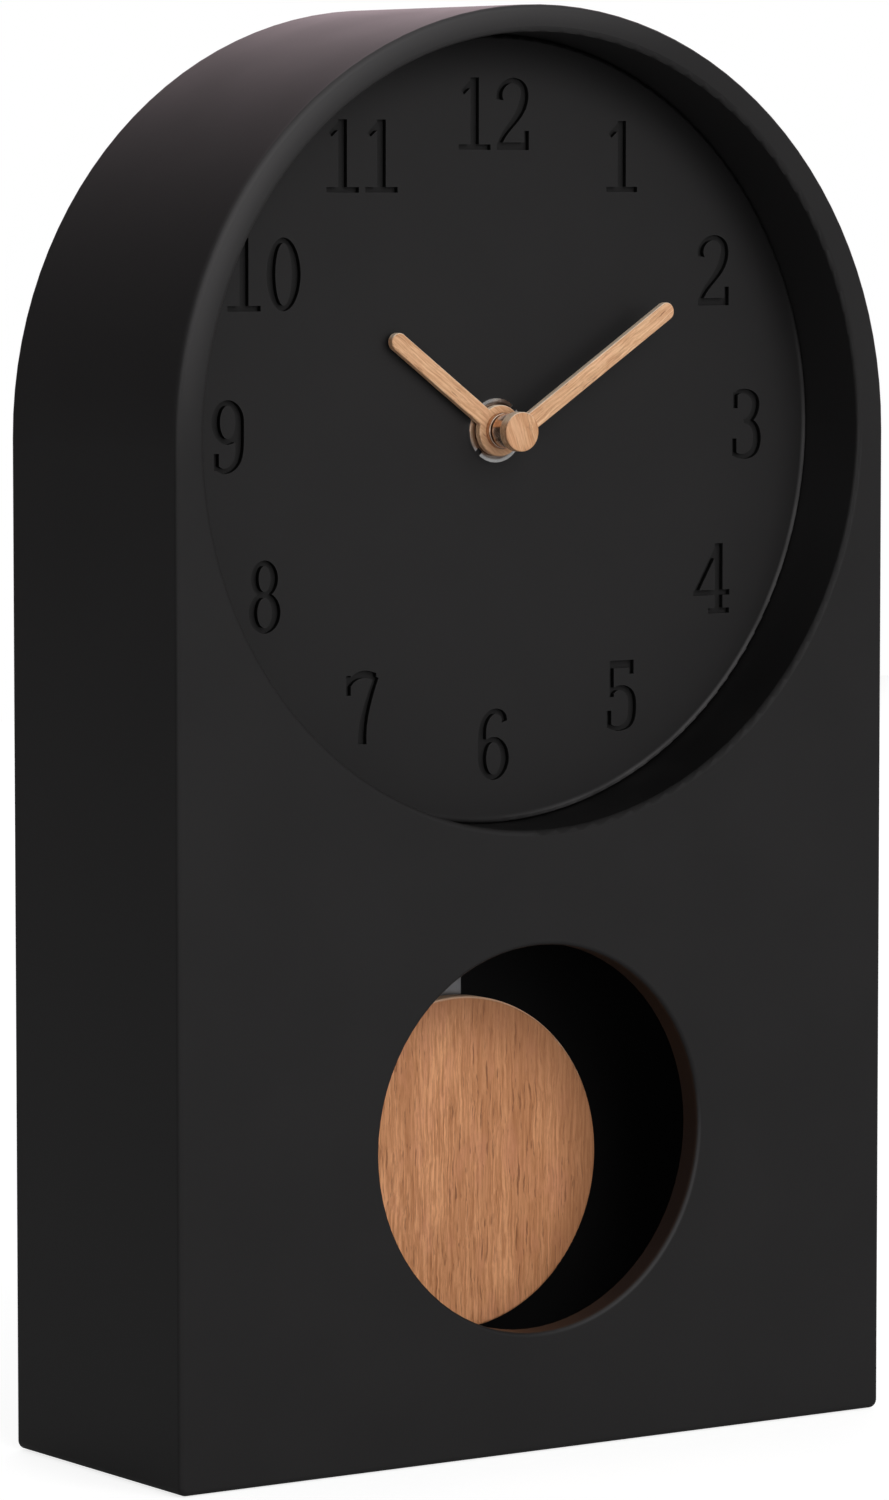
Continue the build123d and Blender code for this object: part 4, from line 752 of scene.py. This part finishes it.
def makeDriveCoil():
    # a flat coil round the axis along Y: its section is a closed path with bumps of one wire's width on
    # the outer side (one for each layer) and on both faces (one for each wire), carried round by theta
    look = {"centreZ": handsHeight - 0.044, "front": -0.0048, "back": -0.0017, "outer": 0.0075,
            "bore": 0.0024, "ripple": 0.0001, "layers": 13, "wires": 22, "perWire": 8, "around": 128}
    outer, bore, front, back = look["outer"], look["bore"], look["front"], look["back"]
    side = np.linspace(0, 1, look["layers"] * look["perWire"], endpoint=False)
    face = np.linspace(0, 1, look["wires"] * look["perWire"], endpoint=False)
    dipSide = look["ripple"] * (1 - np.abs(np.sin(pi * look["layers"] * side)))
    dipFace = look["ripple"] * (1 - np.abs(np.sin(pi * look["wires"] * face)))
    width = outer - bore
    depth = back - front
    radius = np.concatenate([outer - dipSide, outer - width * face, np.full(2, bore), bore + width * face])
    y = np.concatenate([front + depth * side, back - dipFace, np.array([back, front]), front + dipFace])
    theta = np.linspace(0, 2 * pi, look["around"], endpoint=False)[:, None]
    points = np.stack([radius[None, :] * np.sin(theta), y[None, :] + 0 * theta,
                       look["centreZ"] + radius[None, :] * np.cos(theta)], -1)
    piece = addPiece("driveCoilTurns", meshFromGrid("driveCoilTurns", points), "copper_wire", "case")
    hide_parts("pendulum_drive_coil")


def makeBatteryMarks():
    # moulded plus and minus beside the bay, on the housing's back face
    look = {"back": 0.0089, "rise": 0.00035, "plusX": 0.022, "minusX": -0.022, "height": handsHeight - 0.008,
            "long": 0.0034, "wide": 0.0008}
    half, reach = look["wide"] / 2, look["long"] / 2
    plus = np.array([(-reach, -half), (-reach, half), (-half, half), (-half, reach), (half, reach),
                     (half, half), (reach, half), (reach, -half), (half, -half), (half, -reach),
                     (-half, -reach), (-half, -half)])
    minus = np.array([(-reach, -half), (-reach, half), (reach, half), (reach, -half)])
    plates = [raisedPlate(outline + (x, look["height"]), look["back"], look["rise"])
              for outline, x in ((plus, look["plusX"]), (minus, look["minusX"]))]
    addPiece("batteryMarks", meshFromPlates("batteryMarks", plates), "movement_plastic", "case")


def makeKnobArrow():
    # a moulded arrow round the setting knob: an arc band of constant width, then an arrowhead
    look = {"centre": (0.01971, handsHeight + 0.00919), "radius": 0.0072, "width": 0.0006, "start": 200,
            "end": 300, "head": 0.0019, "back": 0.0089, "rise": 0.0003, "steps": 24}
    angle = np.radians(np.linspace(look["start"], look["end"], look["steps"]))
    ray = np.column_stack([np.cos(angle), np.sin(angle)])
    centre = np.array(look["centre"])
    outerLine = centre + (look["radius"] + look["width"] / 2) * ray
    innerLine = centre + (look["radius"] - look["width"] / 2) * ray
    outward = ray[-1]
    onward = np.array([-outward[1], outward[0]])
    root = centre + look["radius"] * outward
    head = np.array([root + outward * look["head"] / 2, root + onward * look["head"],
                     root - outward * look["head"] / 2])
    outline = np.concatenate([outerLine, head, innerLine[::-1]])[::-1]
    mesh = meshFromPlates("knobArrow", [raisedPlate(outline, look["back"], look["rise"])])
    addPiece("knobArrow", mesh, "movement_plastic", "case")


makeStatorWinding()
makeDriveCoil()
makeBatteryMarks()
makeKnobArrow()
print("new pieces made")


# floor, light and camera

def makeStage():
    # a pale floor under the clock, lifted to white for the camera and a little for what gloss shows
    look = {"size": 1.5, "drop": 0.0002, "colour": (0.54, 0.54, 0.54), "fleck": (0.5, 0.5, 0.5),
            "fleckScale": 900.0, "fleckAmount": 0.05, "roughness": 0.9, "lift": 0.78, "glossLift": 0.06}
    size, height = look["size"], -look["drop"]
    mesh = bpy.data.meshes.new("studioFloor")
    corners = [(-size, -size, height), (size, -size, height), (size, size, height), (-size, size, height)]
    mesh.from_pydata(corners, [], [(0, 1, 2, 3)])
    floor = bpy.data.objects.new("studioFloor", mesh)
    bpy.context.scene.collection.objects.link(floor)
    material, tree, shader, place = newMaterial("studioPaper")
    fleck = product(tree, noise(tree, place, look["fleckScale"], detail=2.0), look["fleckAmount"])
    feed(tree, shader, Base_Color=mixColour(tree, fleck, colour(look["colour"]), colour(look["fleck"])))
    setShader(shader, Roughness=look["roughness"], Specular_IOR_Level=0.0)
    path = addNode(tree, "ShaderNodeLightPath").outputs
    seen = maths(tree, "ADD", path["Is Camera Ray"], path["Is Transmission Ray"])
    strength = maths(tree, "ADD", product(tree, seen, look["lift"]),
                     product(tree, path["Is Glossy Ray"], look["glossLift"]))
    glow = addNode(tree, "ShaderNodeEmission", {"Color": colour((1, 1, 1)), "Strength": strength})
    both = addNode(tree, "ShaderNodeAddShader", {0: shader.outputs[0], 1: glow.outputs[0]})
    feed(tree, tree.nodes["Material Output"], Surface=both.outputs[0])
    mesh.materials.append(material)


def makeWorld():
    # white to the camera; for gloss and metal a studio: a white backdrop behind the clock, a soft box at
    # the front right, a card at the left, a ceiling and a dim room; one plain grey for matte surfaces
    look = {"ambient": 0.27, "room": 0.05,
            "backdrop": 2.25, "backdropTo": (0.59, 0.80, 0.10), "backdropRange": (0.3, 0.99),
            "backdropPower": 4.0, "tint": (1.13, 0.88, 0.95),
            "softBox": 1.1, "softBoxTo": (0.30, -0.86, 0.42), "softBoxRange": (0.88, 0.96),
            "frontFill": 0.15, "frontRange": (0.0, 0.9),
            "ceiling": 0.8, "ceilingTo": (-0.33, -0.43, 0.84), "ceilingRange": (0.6, 0.98),
            "sideCard": 2.4, "sideCardTo": (-0.81, -0.55, 0.0), "sideCardRange": (0.90, 0.97)}
    world = bpy.data.worlds.new("studioWorld")
    bpy.context.scene.world = world
    world.use_nodes = True
    tree = world.node_tree
    tree.nodes.clear()
    towards = addNode(tree, "ShaderNodeTexCoord").outputs["Generated"]
    low, high = look["backdropRange"]
    nearBack = addNode(tree, "ShaderNodeMapRange", {"Value": alignment(tree, towards, look["backdropTo"]),
                                                    "From Min": low, "From Max": high}).outputs[0]
    backdrop = maths(tree, "POWER", nearBack, look["backdropPower"])
    toBox = alignment(tree, towards, look["softBoxTo"])
    box = smoothStep(tree, toBox, *look["softBoxRange"])
    front = smoothStep(tree, toBox, *look["frontRange"])
    ceiling = smoothStep(tree, alignment(tree, towards, look["ceilingTo"]), *look["ceilingRange"])
    card = smoothStep(tree, alignment(tree, towards, look["sideCardTo"]), *look["sideCardRange"])
    gloss = maths(tree, "MULTIPLY_ADD", backdrop, look["backdrop"], look["room"])
    gloss = maths(tree, "MULTIPLY_ADD", box, look["softBox"], gloss)
    gloss = maths(tree, "MULTIPLY_ADD", ceiling, look["ceiling"], gloss)
    gloss = maths(tree, "MULTIPLY_ADD", card, look["sideCard"], gloss)
    gloss = maths(tree, "MULTIPLY_ADD", front, look["frontFill"], gloss)
    path = addNode(tree, "ShaderNodeLightPath").outputs
    isGloss = maths(tree, "MAXIMUM", path["Is Glossy Ray"], path["Is Transmission Ray"])
    other = addNode(tree, "ShaderNodeMix", {0: isGloss, 2: look["ambient"], 3: gloss},
                    data_type="FLOAT").outputs[0]
    strength = addNode(tree, "ShaderNodeMix", {0: path["Is Camera Ray"], 2: other, 3: 1.0},
                       data_type="FLOAT").outputs[0]
    tinted = product(tree, nearBack, path["Is Glossy Ray"])
    shade = mixColour(tree, tinted, colour((1, 1, 1)), colour(look["tint"]))
    background = addNode(tree, "ShaderNodeBackground", {"Color": shade, "Strength": strength})
    feed(tree, addNode(tree, "ShaderNodeOutputWorld"), Surface=background.outputs[0])


def directionTo(azimuth, elevation):
    # azimuth from the front (-Y) towards the right (+X), in degrees
    turn, rise = radians(azimuth), radians(elevation)
    return Vector((sin(turn) * cos(rise), -cos(turn) * cos(rise), sin(rise)))


def addSoftBox(name, look):
    # a square panel of light that faces the clock; gloss sees the studio of the world instead
    light = bpy.data.lights.new(name, "AREA")
    light.shape = "SQUARE"
    light.size = look["size"]
    away = directionTo(look["azimuth"], look["elevation"]) * look["distance"]
    # this power gives a white surface that faces the panel the tone look["tone"]
    light.energy = look["tone"] * pi ** 2 * look["distance"] ** 2
    panel = bpy.data.objects.new(name, light)
    bpy.context.scene.collection.objects.link(panel)
    panel.location = Vector(look["aim"]) + away
    panel.rotation_euler = away.to_track_quat("Z", "Y").to_euler()
    panel.visible_glossy = look["inGloss"]


keyLook = {"tone": 0.82, "azimuth": 1, "elevation": 14, "distance": 1.5, "size": 1.5,
           "aim": (0, 0, 0.16), "inGloss": False}
backLightLook = dict(keyLook, tone=0.3, azimuth=160, elevation=35)


def makeCamera():
    look = {"yaw": 34.3674, "pitch": 4.8456, "roll": -0.0121, "target": (-0.02209, -0.029, 0.13310),
            "distance": 1.23958, "lens": 161.545, "sensor": 36.0, "nearest": 0.01}
    yaw, pitch, roll = radians(look["yaw"]), radians(look["pitch"]), radians(look["roll"])
    forward = Vector((sin(yaw) * cos(pitch), cos(yaw) * cos(pitch), -sin(pitch)))
    right = Vector((cos(yaw), -sin(yaw), 0))
    up = right.cross(forward)
    rolledRight = right * cos(roll) + up * sin(roll)
    rolledUp = -right * sin(roll) + up * cos(roll)
    camera = bpy.data.cameras.new("photoCamera")
    camera.sensor_fit = "VERTICAL"
    camera.sensor_height = look["sensor"]
    camera.lens = look["lens"]
    camera.clip_start = look["nearest"]
    holder = bpy.data.objects.new("photoCamera", camera)
    bpy.context.scene.collection.objects.link(holder)
    columns = Matrix((rolledRight, rolledUp, -forward)).transposed().to_4x4()
    stand = Vector(look["target"]) - forward * look["distance"]
    holder.matrix_world = Matrix.Translation(stand) @ columns
    bpy.context.scene.camera = holder


makeStage()
makeWorld()
addSoftBox("keyPanel", keyLook)
addSoftBox("backPanelLight", backLightLook)
makeCamera()
bpy.context.scene.view_settings.view_transform = "Standard"
print("floor, light and camera set")
